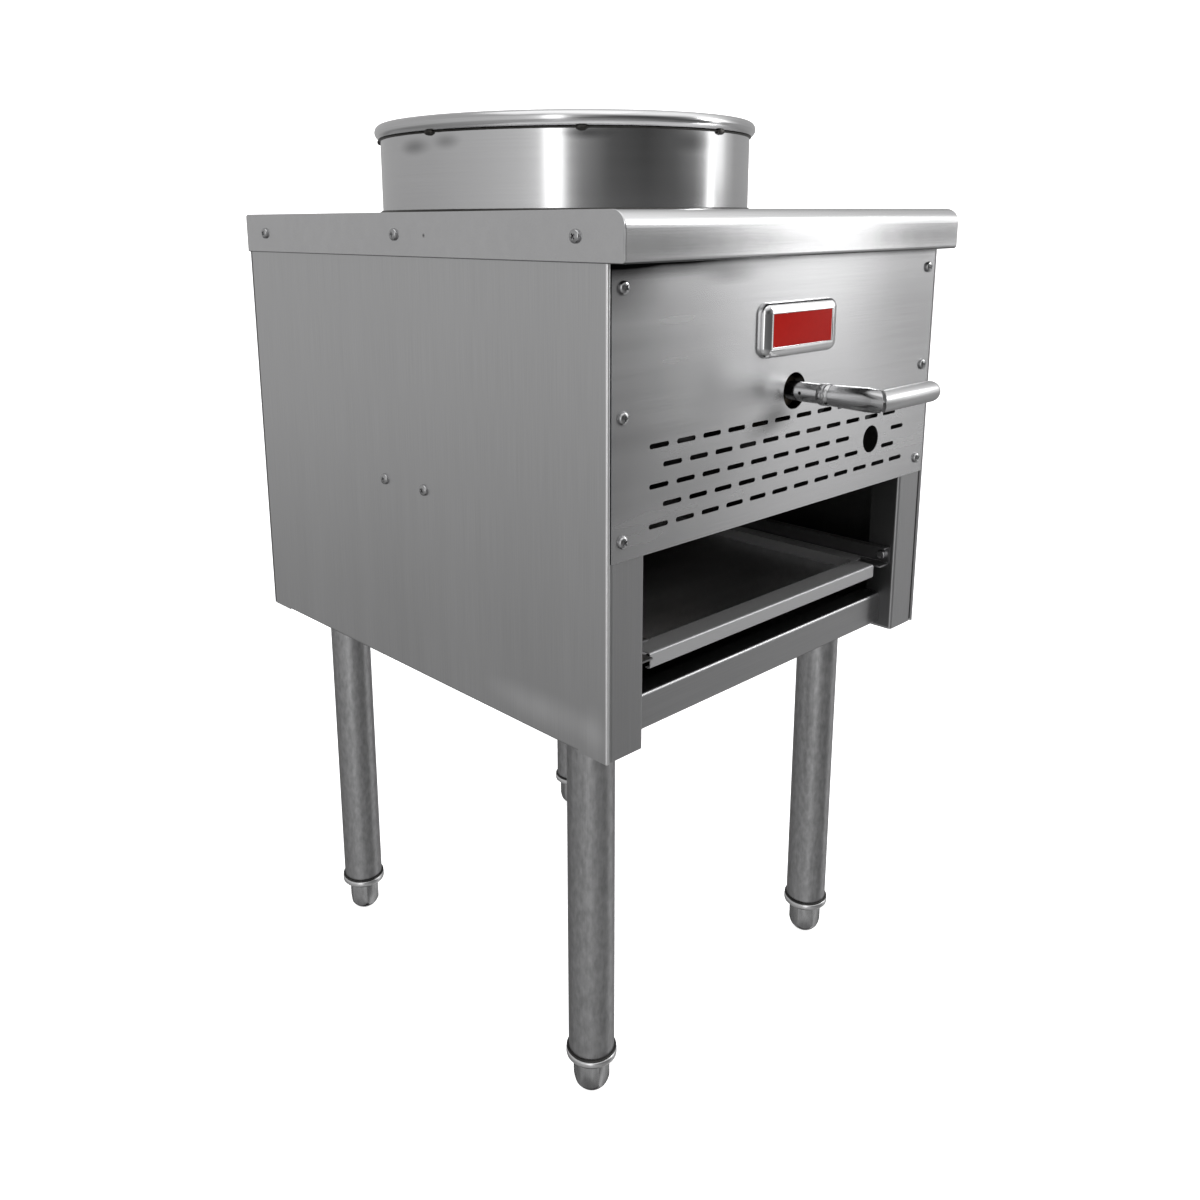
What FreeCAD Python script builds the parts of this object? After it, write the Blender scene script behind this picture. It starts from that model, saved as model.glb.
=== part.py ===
import FreeCAD, Part
import math
import os
from FreeCAD import Vector

# Wok range: a sheet-steel cabinet on four tube legs, with one raised wok ring, a jet burner under it,
# a lever-handled gas valve on a slotted control panel and a drip tray on rails.
# Millimetres. The origin is on the floor under the middle of the outline, the front faces -Y, +Z is up.

# Cabinet
CABINET_WIDTH = 457.0
CABINET_DEPTH = 523.0
TOP_HEIGHT = 800.0
CABINET_HEIGHT = 421.0
PANEL_SHEET = 1.2
FRAME_SHEET = 1.5
BASE_SHEET = 3.0
SHEET_GAP = 0.2
BEND_RADIUS = 1.5
ROUNDING_SHARE = 0.8

# Side panels: a narrow return along the front edge, flanges along the back and the bottom
RETURN_GAP = 1.6
RETURN_DEPTH = 12.0
SIDE_BACK_FLANGE = 16.0
SIDE_BOTTOM_FLANGE = 20.0

# Posts, cross members and base rails
POST_WIDTH = 42.5
POST_DEPTH = 30.0
POST_CLEARANCE = 1.0
CROSS_SETBACK = 16.4
CROSS_HEIGHT = 32.0
CROSS_FLANGE = 20.0
BASE_RAIL_HEIGHT = 35.0
BASE_RAIL_MARGIN = 8.0

# Top panel
TOP_SHEET = 1.5
LIP_OVERHANG = 18.7
LIP_HEIGHT = 37.3
LIP_RETURN = 12.0
NOSE_RADIUS = 13.0
TOP_EDGE_RADIUS = 1.0

# Wok ring and fire chamber
RING_SETBACK = 287.0
RING_RADIUS = 182.5
RING_WALL = 3.0
RIM_HEIGHT = 83.0
RIM_BAR_RADIUS = 7.0
CHAMBER_STEP = 12.0
CHAMBER_WALL = 2.0
CHAMBER_FLANGE = 10.0
CHAMBER_ABOVE_BURNER = 30.0

# Control panel
PANEL_DROP = 258.7
VALVE_DROP = 152.0
VALVE_HOLE_RADIUS = 16.0
SIGHT_HOLE_RADIUS = 13.0
SIGHT_OFFSET = 126.0
SIGHT_RISE = 46.4
SLOT_LENGTH = 22.0
SLOT_HEIGHT = 4.0
SLOT_PITCH = 31.3
SLOT_ROW_PITCH = 15.75
SLOT_ROWS = 5
SLOTS_IN_LONG_ROW = 12
SLOT_ROW_RISE = 21.1
SLOT_HOLE_MARGIN = 5.0

# Nameplate
PLATE_DROP = 97.6
PLATE_WIDTH = 105.0
PLATE_HEIGHT = 46.0
PLATE_DEPTH = 7.0
PLATE_CORNER = 5.0
PLATE_EDGE = 4.0
INSERT_WIDTH = 84.0
INSERT_HEIGHT = 27.5
INSERT_RECESS = 2.5
INSERT_SHEET = 0.8
INSERT_CORNER = 1.5

# Drip tray and its rails
RAIL_RISE = 69.0
RAIL_HEIGHT = 19.0
RAIL_TOP_FLANGE = 11.0
RAIL_BOTTOM_FLANGE = 17.0
RAIL_SETBACK = 7.0
RAIL_BOLT_SETBACK = 7.5
TRAY_SHEET = 1.0
TRAY_GAP = 0.2
TRAY_SIDE_GAP = 1.5
TRAY_PAN_GAP = 3.0
TRAY_SETBACK = 12.5
TRAY_FRONT_BAND = 21.0
TRAY_LIP = 14.0
TRAY_HEM = 5.0
TRAY_PAN_DEPTH = 11.0
TRAY_REAR_BAND = 14.0
TRAY_REAR_GAP = 12.0
TRAY_CORNER = 10.0

# Legs and feet
LEG_INSET_SIDE = 58.0
LEG_INSET_FRONT = 77.0
LEG_INSET_BACK = 61.0
LEG_RADIUS = 21.2
LEG_WALL = 1.5
SOCKET_PLATE = 56.0
SOCKET_PLATE_SHEET = 3.0
SOCKET_LENGTH = 40.0
SOCKET_WALL = 3.0
SOCKET_GAP = 0.3
FOOT_HEIGHT = 36.0
FOOT_RADIUS = 16.0
FOOT_TIP_RADIUS = 10.0
FOOT_NECK = 1.2
COLLAR_HEIGHT = 9.0
COLLAR_STEP = 2.3
COLLAR_EDGE = 1.5
INSERT_PLUG_LENGTH = 32.0
FOOT_STEM_RADIUS = 6.0
FOOT_STEM_LENGTH = 58.0
STEM_GAP = 0.05

# Gas valve, behind the control panel
VALVE_SETBACK = 50.0
VALVE_RADIUS = 19.0
VALVE_HALF_LENGTH = 22.0
VALVE_END_WALL = 2.0
PORT_RADIUS = 15.0
PORT_REACH = 36.0
PORT_SOCKET_DEPTH = 14.0
PLUG_RADIUS = 11.0
PLUG_PORT_RADIUS = 6.0
VALVE_STEM_RADIUS = 5.0
BONNET_RADIUS = 15.0
BONNET_LENGTH = 20.0
BONNET_EDGE = 2.0
TURNING_GAP = 0.05

# Valve handle, from the valve outwards
SLEEVE_GAP = 4.0
SLEEVE_REACH = 27.0
SLEEVE_RADIUS = 8.5
SLEEVE_HOLE_AT = 11.0
SLEEVE_HOLE_RADIUS = 1.5
STEM_STOP = 3.0
HANDLE_COLLAR_LENGTH = 11.0
HANDLE_COLLAR_WALL = 3.6
HANDLE_COLLAR_EDGE = 1.5
SHANK_RADIUS = 6.0
PIN_RADIUS = 2.0
PIN_HEAD_RADIUS = 3.2
PIN_HEAD_HEIGHT = 1.5
BARREL_LENGTH = 39.0
BARREL_START_WALL = 1.0
BARREL_END_WALL = 2.2
LEVER_STEP = 8.0
LEVER_RADIUS = 8.0
LEVER_INNER_BEND = 0.6
LEVER_LENGTH = 85.0
HANDLE_FIT = 0.05

# Gas train
INLET_REACH = 28.0
INLET_PIPE_RADIUS = 13.35
INLET_PIPE_WALL = 2.9
INLET_THREAD_LENGTH = 20.0
INLET_THREAD_STEP = 0.25
INLET_HOLE_GAP = 1.5
UNION_RADIUS = 18.0
UNION_LENGTH = 30.0
UNION_SETBACK = 104.0
UNION_STOP = 4.0
TUBE_RADIUS = 9.5
TUBE_WALL = 1.5
TUBE_BEND = 24.0
TUBE_FIT = 0.1
GAS_DROP = 66.0

# Burner and its support bar
SUPPORT_AHEAD = 27.5
SUPPORT_WIDTH = 100.0
SUPPORT_SHEET = 3.0
SUPPORT_TAB = 30.0
SUPPORT_SCREW_PITCH = 61.0
SUPPORT_SCREW_RISE = 14.4
BURNER_FOOT_HEIGHT = 34.0
BURNER_FOOT_RADIUS = 34.0
BURNER_FOOT_SHEET = 6.0
BURNER_NECK_RADIUS = 18.0
BURNER_HUB_RADIUS = 26.0
BURNER_RING_RADIUS = 72.0
BURNER_RING_WIDTH = 20.0
BURNER_BODY_HEIGHT = 24.0
BURNER_ARM_WIDTH = 18.0
BURNER_ARMS = 4
BURNER_EDGE = 3.0
BURNER_NECK_EDGE = 1.2
BURNER_BOSS_RADIUS = 15.0
BURNER_BOSS_REACH = 22.0
JETS_ON_RING = 12
JET_HEX_RADIUS = 7.0
JET_HEX_HEIGHT = 6.0
JET_CONE_HEIGHT = 18.0
JET_BASE_RADIUS = 5.0
JET_TIP_RADIUS = 3.2
JET_BORE_RADIUS = 1.5

# Pilot
PILOT_CLEARANCE = 13.0
PILOT_CLAMP_WALL = 3.0
PILOT_CLAMP_WIDTH = 16.0
PILOT_BODY_RADIUS = 6.5
PILOT_BODY_REACH = 16.0
PILOT_SCREW_RADIUS = 3.5
PILOT_SCREW_HEAD_RADIUS = 5.0
PILOT_SCREW_HEAD = 3.0
PILOT_SCREW_EDGE = 1.0
PILOT_SCREW_DEPTH = 9.0
PILOT_SLOT = 1.2
PILOT_DROP = 24.0
PILOT_TUBE_RADIUS = 3.2
PILOT_TUBE_BEND = 14.0
PILOT_TUBE_RISE = 18.0
PILOT_AHEAD = 30.0
PILOT_BURNER_RADIUS = 6.0
PILOT_BURNER_HEIGHT = 34.0
PILOT_PORT_RADIUS = 3.6
PILOT_PORT_DEPTH = 8.5
PILOT_BRACKET_WIDTH = 16.0
PILOT_BRACKET_FOOT = 20.0
PILOT_BRACKET_SHEET = 2.0

# Screws and bolts
SCREW_RADIUS = 2.1
SCREW_HEAD_RADIUS = 4.6
SCREW_HEAD_HEIGHT = 3.0
SCREW_LENGTH = 9.0
SCREW_TIP = 0.6
TOP_SCREW_LENGTH = 5.0
SCREW_GAP = 0.25
PANEL_SCREW_INSET = 16.5
PANEL_SCREW_DROP = 54.6
PANEL_SCREW_MARGIN = 15.1
PANEL_SCREW_ROWS = 3
TOP_SCREW_SETBACK = 30.5
TOP_SCREW_BACK = 39.5
TOP_SCREWS_A_SIDE = 3
BACK_SCREW_ROWS = 4
BACK_SCREW_INSET = 11.0
BACK_SCREW_MARGIN = 40.0
BOLT_RADIUS = 3.0
BOLT_HEAD_RADIUS = 4.6
BOLT_HEAD_HEIGHT = 4.0
BOLT_EDGE = 1.0

# Places worked out from the sizes above
SIDE_X = CABINET_WIDTH / 2
COLLAR_START = SLEEVE_REACH
BARREL_START = COLLAR_START + HANDLE_COLLAR_LENGTH
BARREL_END = BARREL_START + BARREL_LENGTH
PIN_AT = (COLLAR_START + BARREL_START) / 2
LEVER_OUT = BARREL_END + LEVER_STEP
FRONT_Y = (LEVER_OUT + LEVER_RADIUS - INLET_REACH - CABINET_DEPTH) / 2
BACK_Y = FRONT_Y + CABINET_DEPTH
CABINET_BOTTOM = TOP_HEIGHT - CABINET_HEIGHT
TOP_UNDERSIDE = TOP_HEIGHT - TOP_SHEET
SIDE_INNER_X = SIDE_X - PANEL_SHEET
RETURN_WIDTH = RETURN_GAP + 2 * PANEL_SHEET
BACK_PANEL_Y = BACK_Y - TOP_SHEET - SHEET_GAP
BACK_FLANGE_Y = BACK_PANEL_Y - PANEL_SHEET
POST_FACE_Y = FRONT_Y + PANEL_SHEET
POST_OUTER_X = SIDE_X - RETURN_WIDTH - SHEET_GAP
POST_INNER_X = SIDE_X - POST_WIDTH
REAR_POST_Y = BACK_FLANGE_Y - PANEL_SHEET - SHEET_GAP
BASE_START_Y = POST_FACE_Y + POST_DEPTH + POST_CLEARANCE
BASE_END_Y = REAR_POST_Y - POST_DEPTH - POST_CLEARANCE
FRONT_CROSS_Y = FRONT_Y + CROSS_SETBACK
REAR_CROSS_Y = REAR_POST_Y - CROSS_SETBACK
BASE_RAIL_BOTTOM = CABINET_BOTTOM + PANEL_SHEET
CROSS_BOTTOM = BASE_RAIL_BOTTOM + BASE_SHEET
RING_Y = FRONT_Y + RING_SETBACK
RIM_Z = TOP_HEIGHT + RIM_HEIGHT - RIM_BAR_RADIUS
CHAMBER_RADIUS = RING_RADIUS - CHAMBER_STEP
PANEL_BOTTOM = TOP_HEIGHT - PANEL_DROP
VALVE_Y = FRONT_Y + VALVE_SETBACK
VALVE_Z = TOP_HEIGHT - VALVE_DROP
PLUG_HALF_LENGTH = VALVE_HALF_LENGTH - VALVE_END_WALL
SLEEVE_START = SLEEVE_GAP + VALVE_HALF_LENGTH + BONNET_LENGTH - VALVE_SETBACK
STEM_END = SLEEVE_REACH - STEM_STOP
HANDLE_COLLAR_RADIUS = SHANK_RADIUS + HANDLE_COLLAR_WALL
TUBE_BORE = TUBE_RADIUS - TUBE_WALL
BURNER_Z = VALVE_Z - GAS_DROP
SUPPORT_TOP = BURNER_Z - BURNER_FOOT_HEIGHT
SUPPORT_Y = RING_Y - SUPPORT_AHEAD
BURNER_TOP = BURNER_Z + BURNER_BODY_HEIGHT / 2
BURNER_BOLT_X = (BURNER_FOOT_RADIUS + BURNER_NECK_RADIUS) / 2
PILOT_X = BURNER_RING_RADIUS + BURNER_RING_WIDTH / 2 + PILOT_CLEARANCE
PIPE_X = (POST_OUTER_X + POST_INNER_X) / 2
RAIL_BOTTOM = CABINET_BOTTOM + RAIL_RISE
RAIL_FLOOR = RAIL_BOTTOM + FRAME_SHEET
RAIL_WEB_X = POST_INNER_X - FRAME_SHEET
SOCKET_TOP = BASE_RAIL_BOTTOM
LEG_TOP = SOCKET_TOP - SOCKET_PLATE_SHEET
LEG_BOTTOM = FOOT_HEIGHT + COLLAR_HEIGHT
COLLAR_RADIUS = LEG_RADIUS + COLLAR_STEP
LEG_X = SIDE_X - LEG_INSET_SIDE
LEG_FRONT_Y = FRONT_Y + LEG_INSET_FRONT
LEG_BACK_Y = BACK_Y - LEG_INSET_BACK
SCREW_HOLE_RADIUS = SCREW_RADIUS + SCREW_GAP
BOLT_HOLE_RADIUS = BOLT_RADIUS + SCREW_GAP

X_AXIS = Vector(1, 0, 0)
Y_AXIS = Vector(0, 1, 0)
Z_AXIS = Vector(0, 0, 1)


# Shapes that many pieces share

def at(plane, u, v, w):
    """Point with coordinates u and v in a named plane, w along that plane's third axis."""
    if plane == "xy":
        return Vector(u, v, w)
    if plane == "xz":
        return Vector(u, w, v)
    return Vector(w, u, v)


def outline_wire(plane, w, corners):
    """Closed wire through corners (u, v, radius). A radius above zero rounds that corner with an arc."""
    count = len(corners)
    joints = []
    for index, (u, v, radius) in enumerate(corners):
        corner = Vector(u, v, 0)
        before = Vector(corners[index - 1][0], corners[index - 1][1], 0) - corner
        after = Vector(corners[(index + 1) % count][0], corners[(index + 1) % count][1], 0) - corner
        if radius <= 0:
            joints.append((corner, None, corner))
            continue
        before.normalize()
        after.normalize()
        half = before.getAngle(after) / 2
        middle = before + after
        middle.normalize()
        reach = radius / math.tan(half)
        top = corner + middle * (radius / math.sin(half) - radius)
        joints.append((corner + before * reach, top, corner + after * reach))
    edges = []
    for index, (start, top, end) in enumerate(joints):
        if top is not None:
            arc_points = [at(plane, p.x, p.y, w) for p in (start, top, end)]
            edges.append(Part.Arc(*arc_points).toShape())
        next_start = joints[(index + 1) % count][0]
        if (next_start - end).Length > 1e-6:
            ends = [at(plane, p.x, p.y, w) for p in (end, next_start)]
            edges.append(Part.makeLine(*ends))
    return Part.Wire(edges)


def prism(plane, w, corners, length, holes=()):
    """Solid made by pushing an outline, less its hole wires, along the plane's third axis."""
    face = Part.makeFace([outline_wire(plane, w, corners), *holes], "Part::FaceMakerBullseye")
    return face.extrude(at(plane, 0, 0, length))


def folded(plane, w, length, sheet, path):
    """Folded sheet. Its path (u, v, inner bend radius) is the outer face; the sheet lies to the right."""
    points = [Vector(u, v, 0) for u, v, _ in path]
    steps = [(b - a).normalize() for a, b in zip(points, points[1:])]
    normals = [Vector(step.y, -step.x, 0) for step in steps]
    outer = [(points[0].x, points[0].y, 0)]
    first = points[0] + normals[0] * sheet
    inner = [(first.x, first.y, 0)]
    for index in range(1, len(points) - 1):
        one, two = normals[index - 1], normals[index]
        shift = (one + two) * (sheet / (1 + one.dot(two)))
        turns_right = one.x * two.y - one.y * two.x < 0
        tight = path[index][2]
        wide = tight + sheet
        outer.append((points[index].x, points[index].y, wide if turns_right else tight))
        moved = points[index] + shift
        inner.append((moved.x, moved.y, tight if turns_right else wide))
    last = points[-1] + normals[-1] * sheet
    outer.append((points[-1].x, points[-1].y, 0))
    inner.append((last.x, last.y, 0))
    return prism(plane, w, outer + inner[::-1], length)


def block(x0, x1, y0, y1, z0, z1):
    """Square-edged block between two corners."""
    return Part.makeBox(x1 - x0, y1 - y0, z1 - z0, Vector(x0, y0, z0))


def rod(start, end, radius):
    """Round bar between two points."""
    return Part.makeCylinder(radius, (end - start).Length, start, end - start)


def pipe(start, end, radius, bore):
    """Straight pipe between two points."""
    return rod(start, end, radius).cut(rod(start, end, bore))


def turned(profile, centre, axis):
    """Solid turned from a profile (radius, distance along the axis, corner radius) about an axis."""
    flat = Part.Face(outline_wire("xz", 0, profile))
    solid = flat.revolve(Vector(0, 0, 0), Z_AXIS, 360)
    solid.Placement = FreeCAD.Placement(centre, FreeCAD.Rotation(Z_AXIS, axis))
    return solid


def bent_tube(points, bend, radius, bore):
    """Tube through corner points, with one bend radius at each inner corner."""
    edges = []
    start = points[0]
    for before, corner, after in zip(points, points[1:], points[2:]):
        back = (before - corner).normalize()
        onward = (after - corner).normalize()
        half = back.getAngle(onward) / 2
        reach = bend / math.tan(half)
        middle = (back + onward).normalize()
        arc_start = corner + back * reach
        arc_end = corner + onward * reach
        arc_top = corner + middle * (bend / math.sin(half) - bend)
        edges.append(Part.makeLine(start, arc_start))
        edges.append(Part.Arc(arc_start, arc_top, arc_end).toShape())
        start = arc_end
    edges.append(Part.makeLine(start, points[-1]))
    route = Part.Wire(edges)
    direction = points[1] - points[0]
    outer = Part.Wire([Part.makeCircle(radius, points[0], direction)])
    solid = route.makePipeShell([outer], True, True)
    if bore > 0:
        inner = Part.Wire([Part.makeCircle(bore, points[0], direction)])
        solid = solid.cut(route.makePipeShell([inner], True, True))
    return solid


def mirrored(shape):
    """The same piece for the other side of the cabinet."""
    return shape.mirror(Vector(0, 0, 0), X_AXIS)


def pan_screw(seat, inward, length):
    """Pan-headed screw whose head sits on a face at seat and whose shank points inward."""
    profile = [
        (0, SCREW_HEAD_HEIGHT, 0),
        (SCREW_HEAD_RADIUS, SCREW_HEAD_HEIGHT, SCREW_HEAD_HEIGHT * ROUNDING_SHARE),
        (SCREW_HEAD_RADIUS, 0, 0),
        (SCREW_RADIUS, 0, 0),
        (SCREW_RADIUS, -length + SCREW_TIP, 0),
        (SCREW_RADIUS - SCREW_TIP, -length, 0),
        (0, -length, 0),
    ]
    return turned(profile, seat, inward * -1)


def through_bolt(seat, inward, grip):
    """Bolt with a round head on one face and a nut of the same size past the grip."""
    end = grip + BOLT_HEAD_HEIGHT
    profile = [
        (0, BOLT_HEAD_HEIGHT, 0),
        (BOLT_HEAD_RADIUS, BOLT_HEAD_HEIGHT, BOLT_EDGE),
        (BOLT_HEAD_RADIUS, 0, 0),
        (BOLT_RADIUS, 0, 0),
        (BOLT_RADIUS, -grip, 0),
        (BOLT_HEAD_RADIUS, -grip, 0),
        (BOLT_HEAD_RADIUS, -end, BOLT_EDGE),
        (0, -end, 0),
    ]
    return turned(profile, seat, inward * -1)


def drilled(shape, spots, axis, radius, reach):
    """The shape with a round hole along an axis at each spot."""
    tools = [rod(spot - axis * reach, spot + axis * reach, radius) for spot in spots]
    return shape.cut(tools)


# Places of the screws

def panel_screw_spots():
    """Points on the control panel's face."""
    high = TOP_HEIGHT - PANEL_SCREW_DROP
    step = (high - PANEL_BOTTOM - PANEL_SCREW_MARGIN) / (PANEL_SCREW_ROWS - 1)
    spots = []
    for side in (-1, 1):
        for row in range(PANEL_SCREW_ROWS):
            spots.append(Vector(side * (SIDE_X - PANEL_SCREW_INSET), FRONT_Y, high - row * step))
    return spots


def top_screw_spots(side, x):
    """Points along one side flange of the top panel."""
    height = TOP_HEIGHT - LIP_HEIGHT / 2
    first = FRONT_Y + TOP_SCREW_SETBACK
    step = (BACK_Y - TOP_SCREW_BACK - first) / (TOP_SCREWS_A_SIDE - 1)
    return [Vector(side * x, first + index * step, height) for index in range(TOP_SCREWS_A_SIDE)]


def support_screw_spots(side, x):
    """Points on one side panel, over the burner support's end tab."""
    height = SUPPORT_TOP - SUPPORT_SHEET + SUPPORT_SCREW_RISE
    return [Vector(side * x, SUPPORT_Y + step * SUPPORT_SCREW_PITCH / 2, height) for step in (-1, 1)]


def back_screw_spots():
    """Points on the back panel, over the side panels' back flanges."""
    low = CABINET_BOTTOM + BACK_SCREW_MARGIN
    high = TOP_HEIGHT - LIP_HEIGHT - BACK_SCREW_MARGIN / 2
    step = (high - low) / (BACK_SCREW_ROWS - 1)
    spots = []
    for side in (-1, 1):
        for row in range(BACK_SCREW_ROWS):
            spots.append(Vector(side * (SIDE_X - BACK_SCREW_INSET), BACK_PANEL_Y, low + row * step))
    return spots


def rail_bolt_spots(side):
    """Points on one rail's web, at the front and the rear post."""
    height = RAIL_BOTTOM + RAIL_HEIGHT / 2
    front = FRONT_Y + RAIL_SETBACK + RAIL_BOLT_SETBACK
    rear = REAR_POST_Y - RAIL_SETBACK - RAIL_BOLT_SETBACK
    return [Vector(side * RAIL_WEB_X, y, height) for y in (front, rear)]


# Cabinet

def left_side_panel():
    """Side panel: front return, back flange and bottom flange folded from one sheet."""
    height = TOP_UNDERSIDE - SHEET_GAP - CABINET_BOTTOM
    return_bend = RETURN_GAP / 2 * ROUNDING_SHARE
    plan = [
        (-SIDE_X + RETURN_WIDTH, FRONT_Y + RETURN_DEPTH, 0),
        (-SIDE_X + RETURN_WIDTH, FRONT_Y, return_bend),
        (-SIDE_X, FRONT_Y, return_bend),
        (-SIDE_X, BACK_FLANGE_Y, BEND_RADIUS),
        (-SIDE_X + SIDE_BACK_FLANGE, BACK_FLANGE_Y, 0),
    ]
    panel = folded("xy", CABINET_BOTTOM, height, PANEL_SHEET, plan)
    strip = SIDE_BOTTOM_FLANGE / 2
    end = [
        (-SIDE_X + SIDE_BOTTOM_FLANGE, CABINET_BOTTOM, 0),
        (-SIDE_X, CABINET_BOTTOM, BEND_RADIUS),
        (-SIDE_X, CABINET_BOTTOM + strip, 0),
    ]
    flange = folded("xz", BASE_START_Y, BASE_END_Y - BASE_START_Y, PANEL_SHEET, end)
    edge = block(-SIDE_X, -SIDE_INNER_X, BASE_START_Y, BASE_END_Y, CABINET_BOTTOM, CABINET_BOTTOM + strip)
    panel = panel.cut(edge).fuse(flange).removeSplitter()
    spots = top_screw_spots(-1, SIDE_X) + support_screw_spots(-1, SIDE_X)
    panel = drilled(panel, spots, X_AXIS, SCREW_HOLE_RADIUS, RETURN_WIDTH)
    back_spots = [spot for spot in back_screw_spots() if spot.x < 0]
    return drilled(panel, back_spots, Y_AXIS, SCREW_HOLE_RADIUS, SCREW_LENGTH)


def right_side_panel():
    """The other side panel, with its back flange notched for the gas inlet."""
    return inlet_drilled(mirrored(left_side_panel()))


def inlet_drilled(shape):
    """The shape with the gas inlet pipe's hole through its rear wall."""
    inlet = Vector(PIPE_X, BACK_PANEL_Y, BURNER_Z)
    return drilled(shape, [inlet], Y_AXIS, INLET_PIPE_RADIUS + INLET_HOLE_GAP, SIDE_BACK_FLANGE)


def back_panel():
    """Back panel: a flat sheet with the gas inlet's hole, its upper edge inside the top panel's flange."""
    half = SIDE_X - SHEET_GAP
    sheet = block(-half, half, BACK_FLANGE_Y, BACK_PANEL_Y, CABINET_BOTTOM, TOP_UNDERSIDE - BEND_RADIUS)
    return drilled(inlet_drilled(sheet), back_screw_spots(), Y_AXIS, SCREW_HOLE_RADIUS, PANEL_SHEET * 2)


def top_panel():
    """Top panel: one sheet from the lip's underside over the nose to the back flange, with end plates."""
    half = SIDE_X + SHEET_GAP + TOP_SHEET
    lip_y = FRONT_Y - LIP_OVERHANG
    lip_bottom = TOP_HEIGHT - LIP_HEIGHT
    section = [
        (lip_y + LIP_RETURN, lip_bottom, 0),
        (lip_y, lip_bottom, BEND_RADIUS),
        (lip_y, TOP_HEIGHT, NOSE_RADIUS - TOP_SHEET),
        (BACK_Y, TOP_HEIGHT, BEND_RADIUS),
        (BACK_Y, lip_bottom, 0),
    ]
    panel = folded("yz", -half, 2 * half, TOP_SHEET, section)
    end = [
        (lip_y, lip_bottom, BEND_RADIUS + TOP_SHEET),
        (lip_y, TOP_HEIGHT, NOSE_RADIUS),
        (BACK_Y, TOP_HEIGHT, BEND_RADIUS + TOP_SHEET),
        (BACK_Y, lip_bottom, 0),
    ]
    plates = [prism("yz", x, end, TOP_SHEET) for x in (-half, half - TOP_SHEET)]
    panel = panel.fuse(plates).removeSplitter()
    upper_edges = [
        edge for edge in panel.Edges
        if abs(abs(edge.CenterOfMass.x) - half) < 1e-4 and edge.CenterOfMass.z > TOP_HEIGHT - NOSE_RADIUS
    ]
    panel = panel.makeFillet(min(TOP_EDGE_RADIUS, TOP_SHEET * ROUNDING_SHARE), upper_edges)
    mouth = Vector(0, RING_Y, TOP_HEIGHT)
    panel = drilled(panel, [mouth], Z_AXIS, CHAMBER_RADIUS - CHAMBER_WALL, TOP_SHEET * 2)
    spots = top_screw_spots(-1, SIDE_X) + top_screw_spots(1, SIDE_X)
    return drilled(panel, spots, X_AXIS, SCREW_HOLE_RADIUS, RETURN_WIDTH)


def slot_wire(x, z):
    """Outline of one ventilation slot on the control panel."""
    half = SLOT_LENGTH / 2
    low = SLOT_HEIGHT / 2
    start = Vector(x - half + low, FRONT_Y, z - low)
    corner = Vector(x + half - low, FRONT_Y, z - low)
    far = Vector(x + half - low, FRONT_Y, z + low)
    back = Vector(x - half + low, FRONT_Y, z + low)
    edges = [
        Part.makeLine(start, corner),
        Part.Arc(corner, Vector(x + half, FRONT_Y, z), far).toShape(),
        Part.makeLine(far, back),
        Part.Arc(back, Vector(x - half, FRONT_Y, z), start).toShape(),
    ]
    return Part.Wire(edges)


def slot_centres():
    """Centres of the slots: long and short rows in turn, less those that would reach a round hole."""
    round_holes = [
        (0, VALVE_Z, VALVE_HOLE_RADIUS),
        (SIGHT_OFFSET, PANEL_BOTTOM + SIGHT_RISE, SIGHT_HOLE_RADIUS),
    ]
    centres = []
    for row in range(SLOT_ROWS):
        count = SLOTS_IN_LONG_ROW - row % 2
        z = PANEL_BOTTOM + SLOT_ROW_RISE + row * SLOT_ROW_PITCH
        for index in range(count):
            x = (index - (count - 1) / 2) * SLOT_PITCH
            clear = True
            for hole_x, hole_z, radius in round_holes:
                near_x = max(abs(x - hole_x) - SLOT_LENGTH / 2, 0)
                near_z = max(abs(z - hole_z) - SLOT_HEIGHT / 2, 0)
                clear = clear and math.hypot(near_x, near_z) > radius + SLOT_HOLE_MARGIN
            if clear:
                centres.append((x, z))
    return centres


def control_panel():
    """Control panel: a flat sheet with the valve hole, the lighting hole and the rows of slots."""
    half = SIDE_X - RETURN_WIDTH - SHEET_GAP
    corners = [
        (-half, PANEL_BOTTOM, 0),
        (half, PANEL_BOTTOM, 0),
        (half, TOP_UNDERSIDE - SHEET_GAP, 0),
        (-half, TOP_UNDERSIDE - SHEET_GAP, 0),
    ]
    round_holes = [(Vector(0, FRONT_Y, VALVE_Z), VALVE_HOLE_RADIUS)]
    round_holes.append((Vector(SIGHT_OFFSET, FRONT_Y, PANEL_BOTTOM + SIGHT_RISE), SIGHT_HOLE_RADIUS))
    round_holes += [(spot, SCREW_HOLE_RADIUS) for spot in panel_screw_spots()]
    holes = [Part.Wire([Part.makeCircle(radius, spot, Y_AXIS)]) for spot, radius in round_holes]
    holes += [slot_wire(x, z) for x, z in slot_centres()]
    return prism("xz", FRONT_Y, corners, PANEL_SHEET, holes)


def front_left_post():
    """Front post: a channel with its back open, from the cabinet's bottom to the top panel."""
    back = POST_FACE_Y + POST_DEPTH
    plan = [
        (-POST_INNER_X, back, 0),
        (-POST_INNER_X, POST_FACE_Y, BEND_RADIUS),
        (-POST_OUTER_X, POST_FACE_Y, BEND_RADIUS),
        (-POST_OUTER_X, back, 0),
    ]
    post = folded("xy", CABINET_BOTTOM, TOP_UNDERSIDE - CABINET_BOTTOM, FRAME_SHEET, plan)
    spots = [spot for spot in panel_screw_spots() if spot.x < 0]
    post = drilled(post, spots, Y_AXIS, SCREW_HOLE_RADIUS, SCREW_LENGTH)
    return drilled(post, rail_bolt_spots(-1)[:1], X_AXIS, BOLT_HOLE_RADIUS, FRAME_SHEET * 3)


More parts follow.
